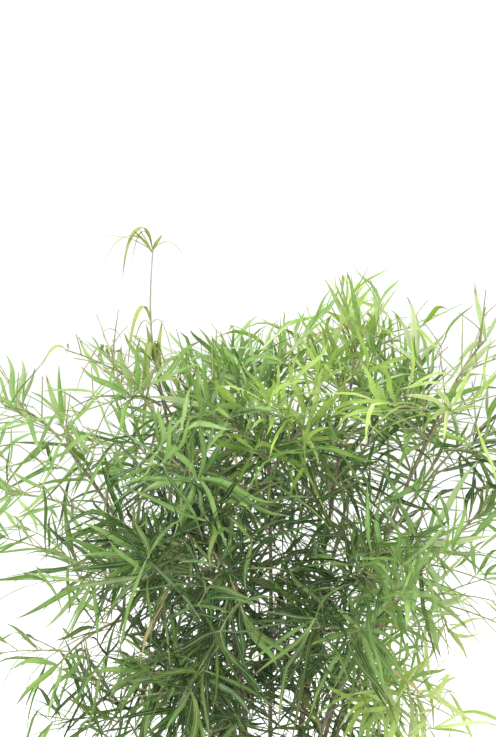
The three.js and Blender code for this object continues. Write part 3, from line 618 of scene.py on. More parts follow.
def spot_on(knots, share):
    """The place and the heading at a share of a line of straight steps."""
    steps = len(knots) - 1
    step = min(math.floor(share * steps), steps - 1)
    low, high = knots[step], knots[step + 1]
    return moved(low, less(high, low), share * steps - step), unit(less(high, low))


def cane_radius(share):
    return between((CANE_FOOT_RADIUS, CANE_HEAD_RADIUS), share)


def cane_curve(name):
    """The three points that a cane's curve follows."""
    (x, y), middle, head = CANES[name]
    foot = (x, y, SOIL_LEVEL - CANE_DEPTH)
    control = moved(moved(moved(ORIGIN, middle, 2), foot, -0.5), head, -0.5)
    return foot, control, head


def cane_knots(name):
    return knots_of(*cane_curve(name), CANE_STEPS)


def tube(points, radii, sides, ridge=0.0):
    """Points and faces of a round stem, closed to a point at both ends. A ridge runs along it."""
    made, faces, side = [], [], None
    last = len(points) - 1
    for i, point in enumerate(points):
        along = unit(less(points[min(i + 1, last)], points[max(i - 1, 0)]))
        side = side or across_of(along)
        side = unit(moved(side, along, -dot(side, along)))
        over = crossed(along, side)
        for k in range(sides):
            angle = k * TURN / sides
            radius = radii[i] * (1 + ridge * math.cos(RIDGES * angle + RIDGE_TWIST * i))
            spot = moved(point, side, radius * math.cos(angle))
            made.append(moved(spot, over, radius * math.sin(angle)))
    for i in range(last):
        for k in range(sides):
            after = (k + 1) % sides
            here, ahead = i * sides, (i + 1) * sides
            faces.append((here + k, here + after, ahead + after, ahead + k))
    made += [points[0], points[last]]
    for k in range(sides):
        after = (k + 1) % sides
        faces.append((after, k, len(made) - 2))
        faces.append((last * sides + k, last * sides + after, len(made) - 1))
    return made, faces


def gather(parts):
    """Several lists of points and faces as one, in metres."""
    points, faces = joined(parts)
    return [(x * MM, y * MM, z * MM) for x, y, z in points], faces


def bark_group():
    """Fine streaks along a stem with darker cracks and pale lichen spots."""
    inputs = [("Place", "Vector", None), ("Dark", "Color", None), ("Pale", "Color", None)]
    outputs = [("Color", "Color"), ("Height", "Float")]
    tree, given, made = new_group("bark", inputs, outputs)
    long_place = add(tree, "Mapping", {"Vector": given["Place"], "Scale": (1.0, 1.0, 0.12)})
    noise = {"Vector": long_place.outputs[0], "Scale": 900.0, "Detail": 4.0}
    streaks = add(tree, "TexNoise", noise).outputs["Fac"]
    patches = mottle(tree, given["Place"], 35.0, 0.4)
    spots = mottle(tree, given["Place"], 260.0, 0.15)
    wood = mixed(tree, rises(tree, streaks, 0.35, 0.65), given["Dark"], given["Pale"])
    worn = mixed(tree, sums(tree, "MULTIPLY", patches, 0.35), wood, tint(0x8f8577))
    spotted = mixed(tree, sums(tree, "MULTIPLY", spots, 0.25), worn, tint(0xa9a796))
    tree.links.new(spotted, made["Color"])
    tree.links.new(streaks, made["Height"])
    return tree


BARK = bark_group()


def bark_material(name, dark, pale):
    material, tree, shader = new_material(name)
    place = add(tree, "TexCoord", {}).outputs["Object"]
    bark = place_group(tree, BARK, {"Place": place, "Dark": tint(dark), "Pale": tint(pale)})
    bump = add(tree, "Bump", {"Strength": 0.6, "Distance": 0.0004, "Height": bark["Height"]})
    roughness = rises(tree, bark["Height"], 0.3, 0.7, 0.85, 0.65)
    dress(tree, shader, bark["Color"], roughness, bump.outputs["Normal"])
    return material


def cane_body(name):
    """A cane with a knuckle at each place where a spray leaves it."""
    knuckles = [share for share, *_ in SPRAYS[name]]
    radii = []
    for i in range(CANE_RINGS + 1):
        share = i / CANE_RINGS
        swell = sum(math.exp(-(((share - knuckle) / KNUCKLE_LENGTH) ** 2)) for knuckle in knuckles)
        radii.append(cane_radius(share) * (CANE_SLIMNESS + KNUCKLE_SWELL * min(swell, 1)))
    return tube(knots_of(*cane_curve(name), CANE_RINGS), radii, CANE_SIDES, CANE_RIDGE)


def spine_bodies(knots, random):
    """Hooked spines, each a thin cone that bends down towards its tip."""
    for i in range(SPINES_PER_CANE):
        share = between(SPINE_SPAN, (i + SPINE_JITTER * random()) / SPINES_PER_CANE)
        angle = i * GOLDEN_TURN + random()
        root, along = spot_on(knots, share)
        out = rolled(along, across_of(along), angle)
        middle = moved(root, out, SPINE_LENGTH * SPINE_BEND)
        tip = moved(moved(root, out, SPINE_LENGTH), along, -SPINE_HOOK)
        points = knots_of(root, middle, tip, len(SPINE_RADII) - 1)
        yield tube(points, SPINE_RADII, SPINE_SIDES)


cane_bark = bark_material("cane_bark", 0x3b2a20, 0x7c664f)
for number, name in enumerate(CANES):
    spines = spine_bodies(cane_knots(name), random_from(SPINE_SEED + number))
    bodies = [cane_body(name), *spines]
    cane = new_piece(f"woody_cane_{name}", *gather(bodies), cane_bark)
    fit(cane, "cane_bark", f"cane_{name}")

# Growth
# Twigs leave the canes and branch, and every leaf grows from a twig. Each thing is tried in new
# directions until it keeps clear of what has grown before, as crowded shoots do.

# Room: the grid that it is kept in, and the balls that it is measured with
CELL = 10
CLEARANCE = 1.1
ROOT_CROWD = 10
BALL_STEP = 3.2
LEAF_BALL_SHARES = (0.25, 0.5, 0.75)
THICKEST = CANE_FOOT_RADIUS
FREE_SHARE = 0.1
MOST_TRIES = 60

# Twigs. A side twig may turn further and gets shorter with each try.
TWIG_STEPS = 4
TWIG_BASE_RADIUS = 1.6
TWIG_TIP_RADIUS = 1
TWIG_STUB = 4
TWIG_LIFT = 0.16
TWIG_SWAY = 0.1
TWIG_FREE = 8
HEADING_STEP = 0.02
STEEP = 0.8
TURN_SPREAD = 1.2
SIDE_TWIG_RADIUS = 1.1
SIDE_TWIG_SHARES = (0.36, 0.58, 0.8)
SIDE_TWIG_LENGTH = (52, 86)
SIDE_TWIG_ANGLE = (0.75, 1.05)
SIDE_TWIG_RADII = (0.9, 0.6)
SIDE_TWIG_ARCH = 0.06
SIDE_LOOSER = 15
SIDE_SHORTER = 3

# Leaves that grow by chance. They open round their twig, and rise towards the top of the bush.
LEAF_SICKLE = 0.18
LEAF_DROOP = {"mature": (0, 0.3), "fresh": (0.05, 0.4), "young": (0.75, 1.25)}
LEAF_SHORTNESS = {"mature": 1, "fresh": 1, "young": 0.55}
LEAF_SLIMNESS = {"mature": 1, "fresh": 0.95, "young": 0.72}
LEAF_LIFT = {"mature": 0.12, "fresh": 0.12, "young": 0.35}
LEAF_OPENING = 0.6
FACING_OPENING = 0.65
LEAF_ROLL = 1.1
LEAF_SPREAD = 0.6
LEAF_LOOSER = 8
OPENING_SPREAD = (0.8, 1.2)
FACE_ALONG = 0.6
FACE_UP = 0.8
TOP_LIFT = 0.9
TOP_SPAN = (510, 630)
LEAF_SPACING = 3
FIRST_LEAF = 1.5
FEW_AT_TIP = 4
LEAVES_AT_SIDE_TIP = {"few": 1, "many": 2}

# Leaves that are set one by one. Low on the bush, the end of their twig bears no others.
SET_SPACING = 2
SET_SICKLE = 0.08
SET_BARE = 32
SET_BARE_BELOW = 620
FRONT = (0.0, -1.0, 0.0)

# The young shoot
SHOOT_TOP = (-108, -14, 744)
SHOOT_STEM_RADIUS = 1.2
SHOOT_STEPS = 4
SHOOT_BEND = 0.4
SHOOT_RADII = (1.1, 0.7)
SHOOT_LEAF_TURN = 0.8
SHOOT_LEAF_RINGS = 18

# Where the random numbers of each thing start
SEED_STEP = 100
SMALL_STEP = 10
TWIG_SEED = 1000
SIDE_SEED = 2000
SET_SEED = 5000
SET_LOOK_SEED = 90000
SHOOT_SEED = 9000
TIP_SEED = 10000
SIDE_TIP_SEED = 10020

# The top of the crown, seen from the front: only what is listed may rise above it
CROWN = [
    (-400, 640), (-240, 640), (-150, 662), (-20, 668), (50, 692), (80, 730), (130, 730),
    (155, 696), (210, 690), (400, 690),
]
# Each leaf of the young shoot: how far up the stem it stands, where it heads, how far its tip
# hangs below that, and its width
SHOOT_LEAVES = [
    (0.985, (-30, -6, 116), 146, 4.6), (0.98, (-21, 6, 92), 104, 4),
    (0.975, (-50, -12, 80), 96, 3.4), (0.98, (-52, 12, 40), 26, 3), (0.985, (30, -8, 40), 44, 4),
    (0.97, (-15, 6, 32), 6, 4.4), (0.965, (-20, -6, 36), 12, 4), (0.985, (9, 5, 22), 6, 3.4),
    (0.43, (-23, -8, 108), 153, 4.6), (0.41, (-21, 8, 49), 85, 4), (0.43, (22, -6, 44), 78, 4.8),
    (0.25, (-10, -12, 40), 98, 5.4), (0.24, (-5, -17, 36), 82, 5),
    (0.25, (14, -10, 34), 64, 5.6), (0.24, (6, -15, 34), 74, 5), (0.23, (-8, 12, 36), 84, 4.8),
    (0.23, (9, 12, 34), 76, 4.8), (0.06, (-9, -6, 46), 4, 4.6), (0.06, (7, 5, 50), 3, 4.6),
    (0.04, (38, -14, 4), 8, 5),
]

# Leaves that are set one by one, in the clusters that show most: where each heads, how far its
# tip hangs below that, how far its face turns from the front, and how far up the main twig it
# stands where that isn't the tip
SET_LEAVES = {
    "tall_1": [
        (-47, -8, 28, 0, 0.3), (-35, -16, 39, 0, 0.9), (-33, 4, 29, 0, 1.1),
        (-12, -20, 54, 4, 0.4), (14, -12, 58, 0, 0.2), (30, -26, 34, 6, 0.7),
        (-22, -28, -34, 4, 0.3),
    ],
    "tall_3": [
        (14, -22, 77, 0, 0.2), (-23, -12, 41, 0, 0.1), (34, -14, 48, 12, 0.6),
        (80, -18, -20, 6, 0.2), (76, -22, -38, 4, 0), (38, -16, -30, 42, 0.2),
        (-74, -14, 10, 16, 0.5), (-64, -20, -8, 10, 0.5), (-15, -24, -48, 0, 0.1),
    ],
    "tall_4": [
        (-39, -16, -46, 0, 0), (-36, -10, -10, 2, 0.2), (-14, -22, -36, 42, 0.2),
        (6, -22, -28, 20, 0.1), (2, -12, 54, 0, 0.7), (9, -16, 26, 4, 0.3),
        (-26, 8, -42, 0, 0.3),
    ],
    "far_left_1": [
        (-7, 0, 52, 0, 0.5), (8, -6, 50, 0, 0.3), (24, -12, -44, 4, 0.1), (14, 6, 40, 0, 1.2),
    ],
    "far_left_2": [
        (-16, 2, 51, 0, 0.4), (-3, -10, 62, 0, 0), (-4, 8, 34, 0, 1.1), (22, -12, -50, 2, 0.1),
    ],
    "far_left_4": [
        (-68, -6, 12, 0, 1), (-70, -14, -32, 4, 0), (-44, 4, -46, 2, 0.1),
        (-40, -14, -60, 0, 1.1), (-27, 8, -58, 0, 1.1), (5, -14, -50, 16, 0.6),
    ],
    "far_left_5": [
        (-32, -8, 12, 4, 0.4), (-44, -14, 4, 2, 0.3), (-38, -16, -22, 8, 0),
        (-32, -26, -36, 8, 0), (18, -20, -50, 4, 0.5),
    ],
    "low_left_2": [
        (-48, -4, 26, 30, 0.7), (-36, 8, -16, 30, 0.5), (-48, -8, -36, 12, 0.6),
        (-16, -10, -62, 0, 0.6), (46, -12, 12, 20, 0.4),
    ],
    "mid_left_1": [
        (-35, -10, 60, 0, 0.2), (-47, -12, 45, 0, 0.3), (-13, 4, 64, 0, 0.1),
        (-5, -14, 56, 0, 0.3), (14, 8, 47, 0, 1),
    ],
    "centre_1": [
        (-9, 2, 58, 0, 0.9), (12, -12, 60, 0, 0), (21, 8, 54, 0, 0.5), (28, -18, 44, 0, 0.6),
        (-10, -28, -12, 42, 0), (32, -16, -4, 8, 0.4),
    ],
    "centre_2": [
        (-30, -8, 54, 0, 0.5), (-58, -12, 14, 4, 0.5), (-16, -20, 56, 0, 0.3),
        (20, -16, 52, 0, 0.4), (46, -24, 10, 14, 0.4),
    ],
    "centre_3": [
        (19, -12, 68, 0, 0), (24, -20, 36, 0, 0.4), (-22, -14, 30, 0, 0.3), (-8, 2, 70, 0, 0.3),
        (14, -26, -18, 18, 0.2), (-34, -16, 44, 2, 0.4),
    ],
    "peak_1": [
        (-34, -4, 62, 0, 0.3), (-22, 4, 61, 0, 0.2), (-18, -12, 70, 0, 0.5), (-8, 2, 80, 0, 0),
        (1, -8, 72, 0, 0.4), (10, 8, 62, 0, 0.2), (27, -6, 68, 0, 0.3), (30, 4, 80, 0, 0.1),
    ],
    "peak_2": [
        (-30, -8, 56, 0, 0.2), (-12, -14, 64, 0, 0.4), (10, -10, 60, 0, 0),
        (26, -18, 48, 4, 0.5), (-44, -14, 30, 4, 0.3),
    ],
    "right_1": [
        (-12, 4, 52, 0, 0.2), (14, -18, 32, 0, 0.5), (-26, -16, 0, 18, 0),
        (17, -8, 44, 0, 0.1, 0.5), (-30, -10, 30, 0, 1.2, 0.5), (30, -20, 10, 8, 0.7, 0.5),
    ],
    "right_2": [
        (-10, -6, 60, 0, 0.3), (-6, 4, 46, 0, 0.1), (-24, -12, 54, 0, 0.5), (26, 2, 28, 0, 0.6),
        (-34, -20, 24, 4, 0.8),
    ],
    "right_3": [
        (22, 4, 43, 0, 0.1), (-17, -12, 36, 18, 0.1), (-24, -30, 2, 14, 0),
        (-8, -34, -4, 26, 0.1), (10, -26, 6, 36, 0.2), (-46, -14, 40, 26, 0.2),
        (36, -22, 16, 10, 0.5),
    ],
    "right_4": [
        (-3, 2, 47, 0, 0.7), (16, -14, 46, 4, 0.2), (22, -20, -20, 20, 0.3),
    ],
    "right_5": [
        (14, -8, 53, 0, 0.5), (36, -14, 80, 0, 0.2), (42, -20, 20, 0, 0.5),
        (66, -12, -6, -16, 0.2), (42, -10, -38, 8, 0.9), (18, -18, -46, 2, 0.2),
        (-7, -30, -38, 6, 0), (-24, -16, 46, 0, 0.5),
    ],
    "low_right_2": [
        (36, -6, 28, 14, 0.4), (36, -10, -26, -26, 0.5), (22, -16, -10, 10, 0.6),
        (26, 4, 4, 8, 1.1), (-20, -20, -30, 8, 0.2),
    ],
    "low_right_3": [
        (42, -8, 16, 0, 0.3), (42, -20, 11, 0, 0.1), (34, -14, 2, 2, 0.6),
        (-30, -16, -8, 4, 0.3), (12, -24, -40, 4, 0.3),
    ],
    "front_1": [
        (50, -14, -64, -24, 0), (38, -18, -78, -22, 0), (44, -6, -70, -24, 0.2),
        (4, -20, -58, 0, 0.5), (-24, -22, -44, 4, 0.3),
    ],
    "front_2": [
        (-68, -20, 37, 0, 0.2), (-80, -12, 12, 6, 0.2), (-78, -22, -22, -6, 0),
        (-64, -28, -10, 6, 0), (-60, -28, 24, 0, 0.1), (-46, -32, -26, 2, 0.2),
        (12, -26, -40, 0, 0.2), (-14, -20, 56, 0, 0.6),
    ],
    "front_right_1": [
        (29, -14, 28, 0, 0.1), (-24, -12, 34, 0, 0.3), (-36, -18, 0, 0, 0.9),
        (-2, -26, -36, 0, 0), (46, -22, 0, 8, 0.3), (16, -12, -62, 0, 0.8),
    ],
    "front_right_2": [
        (-54, -16, -8, 6, 0.1), (-25, -24, 27, 0, 0), (-13, 4, 38, 0, 0.4), (28, -16, 34, 0, 0),
        (-26, -20, -54, 0, 0), (16, -26, -40, 0, 0.2), (38, -16, -50, 0, 0.1),
        (56, -10, 14, 50, 0.3), (46, -22, -10, 40, 0.2),
    ],
    "front_right_3": [
        (34, -12, 20, 0, 0.2), (34, -18, 34, 60, 0.2), (60, -10, -8, 22, 0.4),
        (11, -22, -50, 0, 0.2), (-8, -16, -50, 0, 0.1, 0.72), (-24, -24, -34, 4, 0.2, 0.72),
        (-6, -18, -54, 0, 0, 0.45), (-14, -26, -40, 6, 0.1, 0.45),
    ],
}


@dataclass
class Habit:
    """How a kind of leaf grows: its sizes, the room that it keeps, and how hard it tries."""

    length: tuple
    width: tuple
    room: float
    clearance: float = CLEARANCE
    step: float = BALL_STEP
    tries: int = MOST_TRIES
    opening: float = LEAF_OPENING
    sickle: float = LEAF_SICKLE
    hang: float = 1.0
    rings: int = 8


LARGE = Habit(length=(56, 88), width=(5.2, 7.4), room=2)
BUSH_LOW = (cad_low.x / MM - 1, cad_low.y / MM - 1, -1)
BUSH_HIGH = (cad_high.x / MM + 1, cad_high.y / MM + 1, cad_high.z / MM + 1)
taken = {}


def take(balls, owner):
    """Marks balls as taken in each cell of a grid that they can be felt in."""
    for x, y, z, radius in balls:
        reach = radius + THICKEST + CLEARANCE
        spans = [
            range(math.floor((value - reach) / CELL), math.floor((value + reach) / CELL) + 1)
            for value in (x, y, z)
        ]
        for cell in product(*spans):
            taken.setdefault(cell, []).append((x, y, z, radius, owner))


def is_free(balls, owner, root, clearance=CLEARANCE):
    """Whether balls keep clear of what is taken. Near its root a piece may crowd its own spray."""
    for x, y, z, radius in balls:
        cell = (math.floor(x / CELL), math.floor(y / CELL), math.floor(z / CELL))
        for ox, oy, oz, other_radius, other in taken.get(cell, ()):
            apart = (ox - x) ** 2 + (oy - y) ** 2 + (oz - z) ** 2
            if apart > (radius + other_radius + clearance) ** 2:
                continue
            if other == owner and math.dist((ox, oy, oz), root) < ROOT_CROWD:
                continue
            return False
    return True


def is_in_crown(balls):
    """Whether balls stay below the top of the crown."""
    for x, _, z, _ in balls:
        after = next(i for i, (at, _) in enumerate(CROWN) if at > x)
        (low_x, low_z), (high_x, high_z) = CROWN[after - 1], CROWN[after]
        if z >= low_z + (high_z - low_z) * (x - low_x) / (high_x - low_x):
            return False
    return True


def within_bush(balls):
    """Whether balls lie in the box of the solids, and above the floor."""
    return all(
        low < at < high
        for ball in balls
        for low, at, high in zip(BUSH_LOW, ball, BUSH_HIGH)
    )


def balls_along(knots, reach, radius_at, start, step=BALL_STEP):
    """The room that a line takes up, as balls from a share of its length on."""
    count = math.ceil(reach * (1 - start) / step)
    balls = []
    for i in range(count + 1):
        share = start + (1 - start) * i / count
        balls.append((*spot_on(knots, share)[0], radius_at(share)))
    return balls


@dataclass
class Twig:
    """A twig: the straight steps that its room is kept by, and the curve that it is drawn on."""

    owner: str
    reach: float
    knots: list
    curve: tuple
    radii: tuple
    leaves: list = field(default_factory=list)

    def at(self, share):
        return bend(*self.curve, share)

    def heading(self, share):
        ahead, behind = min(share + HEADING_STEP, 1), max(share - HEADING_STEP, 0)
        return unit(less(self.at(ahead), self.at(behind)))


@dataclass
class Spray:
    """A spray: its row in the table, its age, and the twigs that it is made of."""

    name: str
    cane: str
    number: int
    share: float
    end: tuple
    tip_leaves: int
    age: str
    twig: Twig = None
    sides: tuple = ()
    fine: tuple = ()


@dataclass
class Leaf:
    """A leaf: where its room starts, where it is drawn from, its directions, sizes and look."""

    root: tuple
    heading: tuple
    across: tuple
    length: float
    width: float
    sickle: float
    droop: float
    age: str
    seat: tuple = None
    seed: int = 0
    rings: int = 8
    shown: bool = False

    def point(self, share):
        spot = moved(self.root, self.heading, self.length * share)
        spot = moved(spot, self.across, self.sickle * self.length * share**2)
        return moved(spot, UP, -self.droop * self.length * share**2)


def main_twig(spray):
    """The main twig of a spray: a short stub square to the cane, then an arch to its end."""
    share, end = spray.share, spray.end
    owner = f"spray_{spray.name}"
    root, along = spot_on(cane_knots(spray.cane), share)
    out = less(end, root)
    out = along if share == 1 else unit(moved(out, along, -dot(out, along)))
    seat = moved(root, out, (0 if share == 1 else cane_radius(share)) + FIT_GAP)
    start = moved(seat, out, TWIG_STUB)
    random = random_from(TWIG_SEED + spray.number)
    reach = math.dist(end, start)
    side = across_of(unit(less(end, start)))
    for tries in range(MOST_TRIES):
        loose = tries / MOST_TRIES
        lift = TWIG_LIFT + (random() - 0.5) * loose
        sway = (random() - 0.5) * (TWIG_SWAY + loose)
        control = moved(arched(start, end, lift * reach), side, sway * reach)
        knots = knots_of(start, control, end, TWIG_STEPS)
        radii = (TWIG_BASE_RADIUS, TWIG_TIP_RADIUS)
        balls = balls_along(knots, reach, lambda at: between(radii, at), TWIG_FREE / reach)
        if is_free(balls, owner, root):
            take(balls, owner)
            return Twig(owner, reach, knots, (start, control, end), radii)
    raise ValueError(f"no clear way for the twig of spray {spray.name}")


def side_twig(spray, order):
    """A side twig at a share of the main twig, on alternate sides, or none where it is crowded."""
    twig, share = spray.twig, SIDE_TWIG_SHARES[order]
    random = random_from(SIDE_SEED + spray.number * SMALL_STEP + order)
    root, along = spot_on(twig.knots, share)
    across = across_of(along)
    apart = GOLDEN_TURN if abs(along[2]) > STEEP else math.pi
    for tries in range(MOST_TRIES):
        turn = order * apart + (random() - 0.5) * (TURN_SPREAD + tries / SIDE_LOOSER)
        angle = between(SIDE_TWIG_ANGLE, random())
        shorter = 1 - tries / (SIDE_SHORTER * MOST_TRIES)
        length = between(SIDE_TWIG_LENGTH, random()) * shorter
        end = moved(root, swung(along, across, angle, turn), length)
        balls = balls_along([root, end], length, lambda at: SIDE_TWIG_RADIUS, FREE_SHARE)
        if is_in_crown(balls) and is_free(balls, twig.owner, root):
            take(balls, twig.owner)
            start = twig.at(share)
            curve = (start, arched(start, end, SIDE_TWIG_ARCH * length), end)
            return Twig(twig.owner, length, [root, end], curve, SIDE_TWIG_RADII)
    return None


def leaf_balls(leaf, habit):
    """The room that a leaf takes up."""
    knots = [leaf.point(share) for share in (0, *LEAF_BALL_SHARES, 1)]
    return balls_along(knots, leaf.length, lambda at: habit.room, FREE_SHARE, habit.step)


def set_leaf(spray, order, row):
    """A leaf that is set one by one, or moved a little where it isn't clear there."""
    x, y, z, hang, turn, share = (*row, 1)[:6]
    twig, age = spray.twig, spray.age
    random = random_from(SET_SEED + SEED_STEP * spray.number + order)
    width = between(LARGE.width, random()) * LEAF_SLIMNESS[age]
    sickle = SET_SICKLE * (2 * random() - 1)
    share -= (FIRST_LEAF + SET_SPACING * order) / twig.reach
    root = spot_on(twig.knots, share)[0]
    for tries in range(MOST_TRIES):
        headed = (
            x + (random() - 0.5) * tries,
            y + 2 * (random() - 0.5) * tries,
            z + (random() - 0.5) * tries,
        )
        length = math.sqrt(dot(headed, headed))
        heading = unit(headed)
        across = rolled(heading, unit(crossed(heading, FRONT)), turn)
        leaf = Leaf(root, heading, across, length, width, sickle, hang / length, age, shown=True)
        balls = leaf_balls(leaf, LARGE)
        if is_free(balls, twig.owner, root):
            take(balls, twig.owner)
            leaf.seat = twig.at(share)
            leaf.seed = SET_LOOK_SEED + SEED_STEP * spray.number + order
            return leaf
    return None


def smooth_rise(value, low, high):
    share = min(max((value - low) / (high - low), 0), 1)
    return share * share * (3 - 2 * share)


def grow_leaf(root, axis, age, owner, seed, order, count, habit=LARGE):
    """One leaf of a cluster round an axis, tried in new directions until it is clear."""
    random = random_from(seed)
    first = random_from(seed - order)() * TURN
    side = across_of(axis)
    face = moved(moved(ORIGIN, axis, FACE_ALONG), UP, FACE_UP)
    lift = LEAF_LIFT[age] + TOP_LIFT * smooth_rise(root[2], *TOP_SPAN)
    widest = habit.opening + FACING_OPENING * abs(axis[1])
    length = between(habit.length, random()) * LEAF_SHORTNESS[age]
    width = between(habit.width, random()) * LEAF_SLIMNESS[age]
    sickle = habit.sickle * (2 * random() - 1)
    droop = between(LEAF_DROOP[age], random()) * habit.hang
    roll = LEAF_ROLL * (2 * random() - 1)
    for tries in range(habit.tries):
        spread = LEAF_SPREAD + tries / LEAF_LOOSER
        turn = first + order * TURN / count + (random() - 0.5) * spread
        opening = widest * between(OPENING_SPREAD, random())
        heading = unit(moved(swung(axis, side, opening, turn), UP, lift))
        across = rolled(heading, unit(crossed(face, heading)), roll)
        leaf = Leaf(root, heading, across, length, width, sickle, droop, age)
        balls = leaf_balls(leaf, habit)
        if not within_bush(balls) or not is_in_crown(balls):
            continue
        if is_free(balls, owner, root, habit.clearance):
            take(balls, owner)
            leaf.seed, leaf.rings = seed, habit.rings
            return leaf
    return None


def grow_cluster(twig, share_of, axis, age, seed, count, habit=LARGE):
    """Leaves round an axis, each rooted at its own share of a twig."""
    leaves = []
    for order in range(count):
        share = share_of(order)
        root = spot_on(twig.knots, share)[0]
        leaf = grow_leaf(root, axis, age, twig.owner, seed + order, order, count, habit)
        if leaf:
            leaf.seat = twig.at(share)
            leaves.append(leaf)
    return leaves


def tip_cluster(twig, age, seed, count):
    def share_of(order):
        return 1 - (FIRST_LEAF + LEAF_SPACING * order) / twig.reach

    return grow_cluster(twig, share_of, spot_on(twig.knots, 1)[1], age, seed, count)


def shoot_stem():
    """The stem of the young shoot, which goes on from the head of the tall cane."""
    at, along = spot_on(cane_knots("tall"), 1)
    start = moved(at, along, FIT_GAP + TWIG_STUB)
    reach = math.dist(start, SHOOT_TOP)
    control = moved(start, along, SHOOT_BEND * reach)
    knots = knots_of(start, control, SHOOT_TOP, SHOOT_STEPS)
    take(balls_along(knots, reach, lambda at: SHOOT_STEM_RADIUS, 0), "young_shoot")
    return Twig("young_shoot", reach, knots, (start, control, SHOOT_TOP), SHOOT_RADII)


def shoot_leaves(stem):
    """The leaves of the young shoot rise, arch over and hang."""
    leaves = []
    for number, (share, headed, hang, width) in enumerate(SHOOT_LEAVES):
        root = spot_on(stem.knots, share)[0]
        length = math.sqrt(dot(headed, headed))
        level = unit((headed[0], headed[1], 0.0))
        across = unit(moved(crossed(level, UP), level, SHOOT_LEAF_TURN))
        leaf = Leaf(root, unit(headed), across, length, width, 0.0, hang / length, "young")
        leaf.seat = stem.at(share)
        leaf.seed, leaf.rings = SHOOT_SEED + number, SHOOT_LEAF_RINGS
        take(leaf_balls(leaf, LARGE), stem.owner)
        leaves.append(leaf)
    return leaves


for name in CANES:
    knots = cane_knots(name)
    take(balls_along(knots, math.dist(knots[0], knots[-1]), cane_radius, 0), f"cane_{name}")
shoot = shoot_stem()
shoot.leaves = shoot_leaves(shoot)
sprays = []
for cane_name, rows in SPRAYS.items():
    for order, row in enumerate(rows, 1):
        name = f"{cane_name}_{order}"
        sprays.append(Spray(name, cane_name, len(sprays), *row, AGES.get(name, "mature")))
for spray in sprays:
    spray.twig = main_twig(spray)
for spray in sprays:
    rows = enumerate(SET_LEAVES.get(spray.name, ()))
    found = [set_leaf(spray, order, row) for order, row in rows]
    spray.twig.leaves = [leaf for leaf in found if leaf]
for spray in sprays:
    found = [side_twig(spray, order) for order in range(len(SIDE_TWIG_SHARES))]
    spray.sides = [side for side in found if side]
for spray in sprays:
    count = 0 if spray.name in SET_LEAVES else spray.tip_leaves
    seed = TIP_SEED + SEED_STEP * spray.number
    spray.twig.leaves += tip_cluster(spray.twig, spray.age, seed, count)
for spray in sprays:
    count = LEAVES_AT_SIDE_TIP["many" if spray.tip_leaves > FEW_AT_TIP else "few"]
    for order, side in enumerate(spray.sides):
        seed = SIDE_TIP_SEED + SEED_STEP * spray.number + SMALL_STEP * order
        side.leaves = tip_cluster(side, spray.age, seed, count)

# Small growth
# Finer twigs branch from the main ones, and inside the bush from the canes. They carry most of
# the leaves, in clusters at their knuckles and stars at their tips, and thin out at the sides.
FULLNESS = {
    "tall": 0.8, "far_left": 0.48, "low_left": 0.55, "mid_left": 0.8, "centre": 0.9,
    "peak": 0.65, "right": 0.45, "low_right": 0.35, "front": 0.95, "front_right": 0.85,
    "back_left": 0.7, "back_right": 0.7,
}

# Places that stay thin, seen from the front: the middle, the half width and half height, and
# the share of the leaves that grow there
THIN_PLACES = [
    ((-225, 655), (95, 52), 0.08), ((-200, 575), (60, 40), 0.35), ((-235, 400), (40, 95), 0.25),
    ((-175, 362), (55, 32), 0.3), ((-60, 695), (95, 45), 0.06), ((32, 712), (40, 34), 0.1),
    ((150, 716), (36, 36), 0.15), ((205, 650), (42, 62), 0.2), ((212, 400), (42, 100), 0.3),
    ((196, 290), (56, 60), 0.12), ((-106, 615), (20, 52), 0.15), ((205, 700), (70, 50), 0.06),
    ((215, 610), (50, 45), 0.4), ((190, 430), (45, 60), 0.5), ((-165, 600), (60, 60), 0.35),
    ((-172, 525), (40, 42), 0.5), ((-200, 342), (80, 34), 0.2),
]
FINE_SHARES = (0.2, 0.42, 0.64, 0.86)
TWIGLET_SHARES = (0.4, 0.75)
INNER_SPAN = (0.3, 0.97)
INNER_TWIGS = 13

# Each kind of small twig: its lengths, its angles to what it grows from, and its radii
FINE = ((38, 70), (0.6, 1.15), (0.8, 0.5))
TWIGLET = ((24, 44), (0.6, 1.15), (0.6, 0.4))
INNER = ((52, 98), (0.9, 1.5), (0.9, 0.5))

# How a small twig grows, and how leaves stand along it
FINE_ROOM = 0.7
FINE_FREE_SHARE = 0.15
FINE_BALL_STEP = 4
FINE_STEPS = 3
FINE_TRIES = 14
FINE_LOOSER = 4
FINE_RISE = 0.1
FINE_ARCH = 0.08
KNUCKLE_GAP = (14, 21)
FIRST_KNUCKLE = 12
MOST_AT_KNUCKLE = 3
LEAF_STEP = 0.6
BARE_END = 6
STAR_PLACE = 0.5
STAR_STEP = 0.8
STAR_LEAVES = 4
MAIN_STAR_LEAVES = 2
LEAF_MIDDLE = 0.7
FINE_SEED = 30000
LEAF_SEED = 100000
LEAF_SEED_STEP = 20
SLENDER = Habit(
    length=(44, 80),
    width=(3.6, 6.4),
    room=1.3,
    clearance=0.2,
    step=5,
    tries=10,
    opening=0.72,
    sickle=0.25,
    hang=1.4,
    rings=6,
)
next_seed = iter(range(LEAF_SEED, 10 * LEAF_SEED, LEAF_SEED_STEP))


def thinness(x, z):
    """The share of the leaves that grow at a place."""
    shares = [
        share
        for (middle_x, middle_z), (wide, high), share in THIN_PLACES
        if ((x - middle_x) / wide) ** 2 + ((z - middle_z) / high) ** 2 < 1
    ]
    return min(shares, default=1)


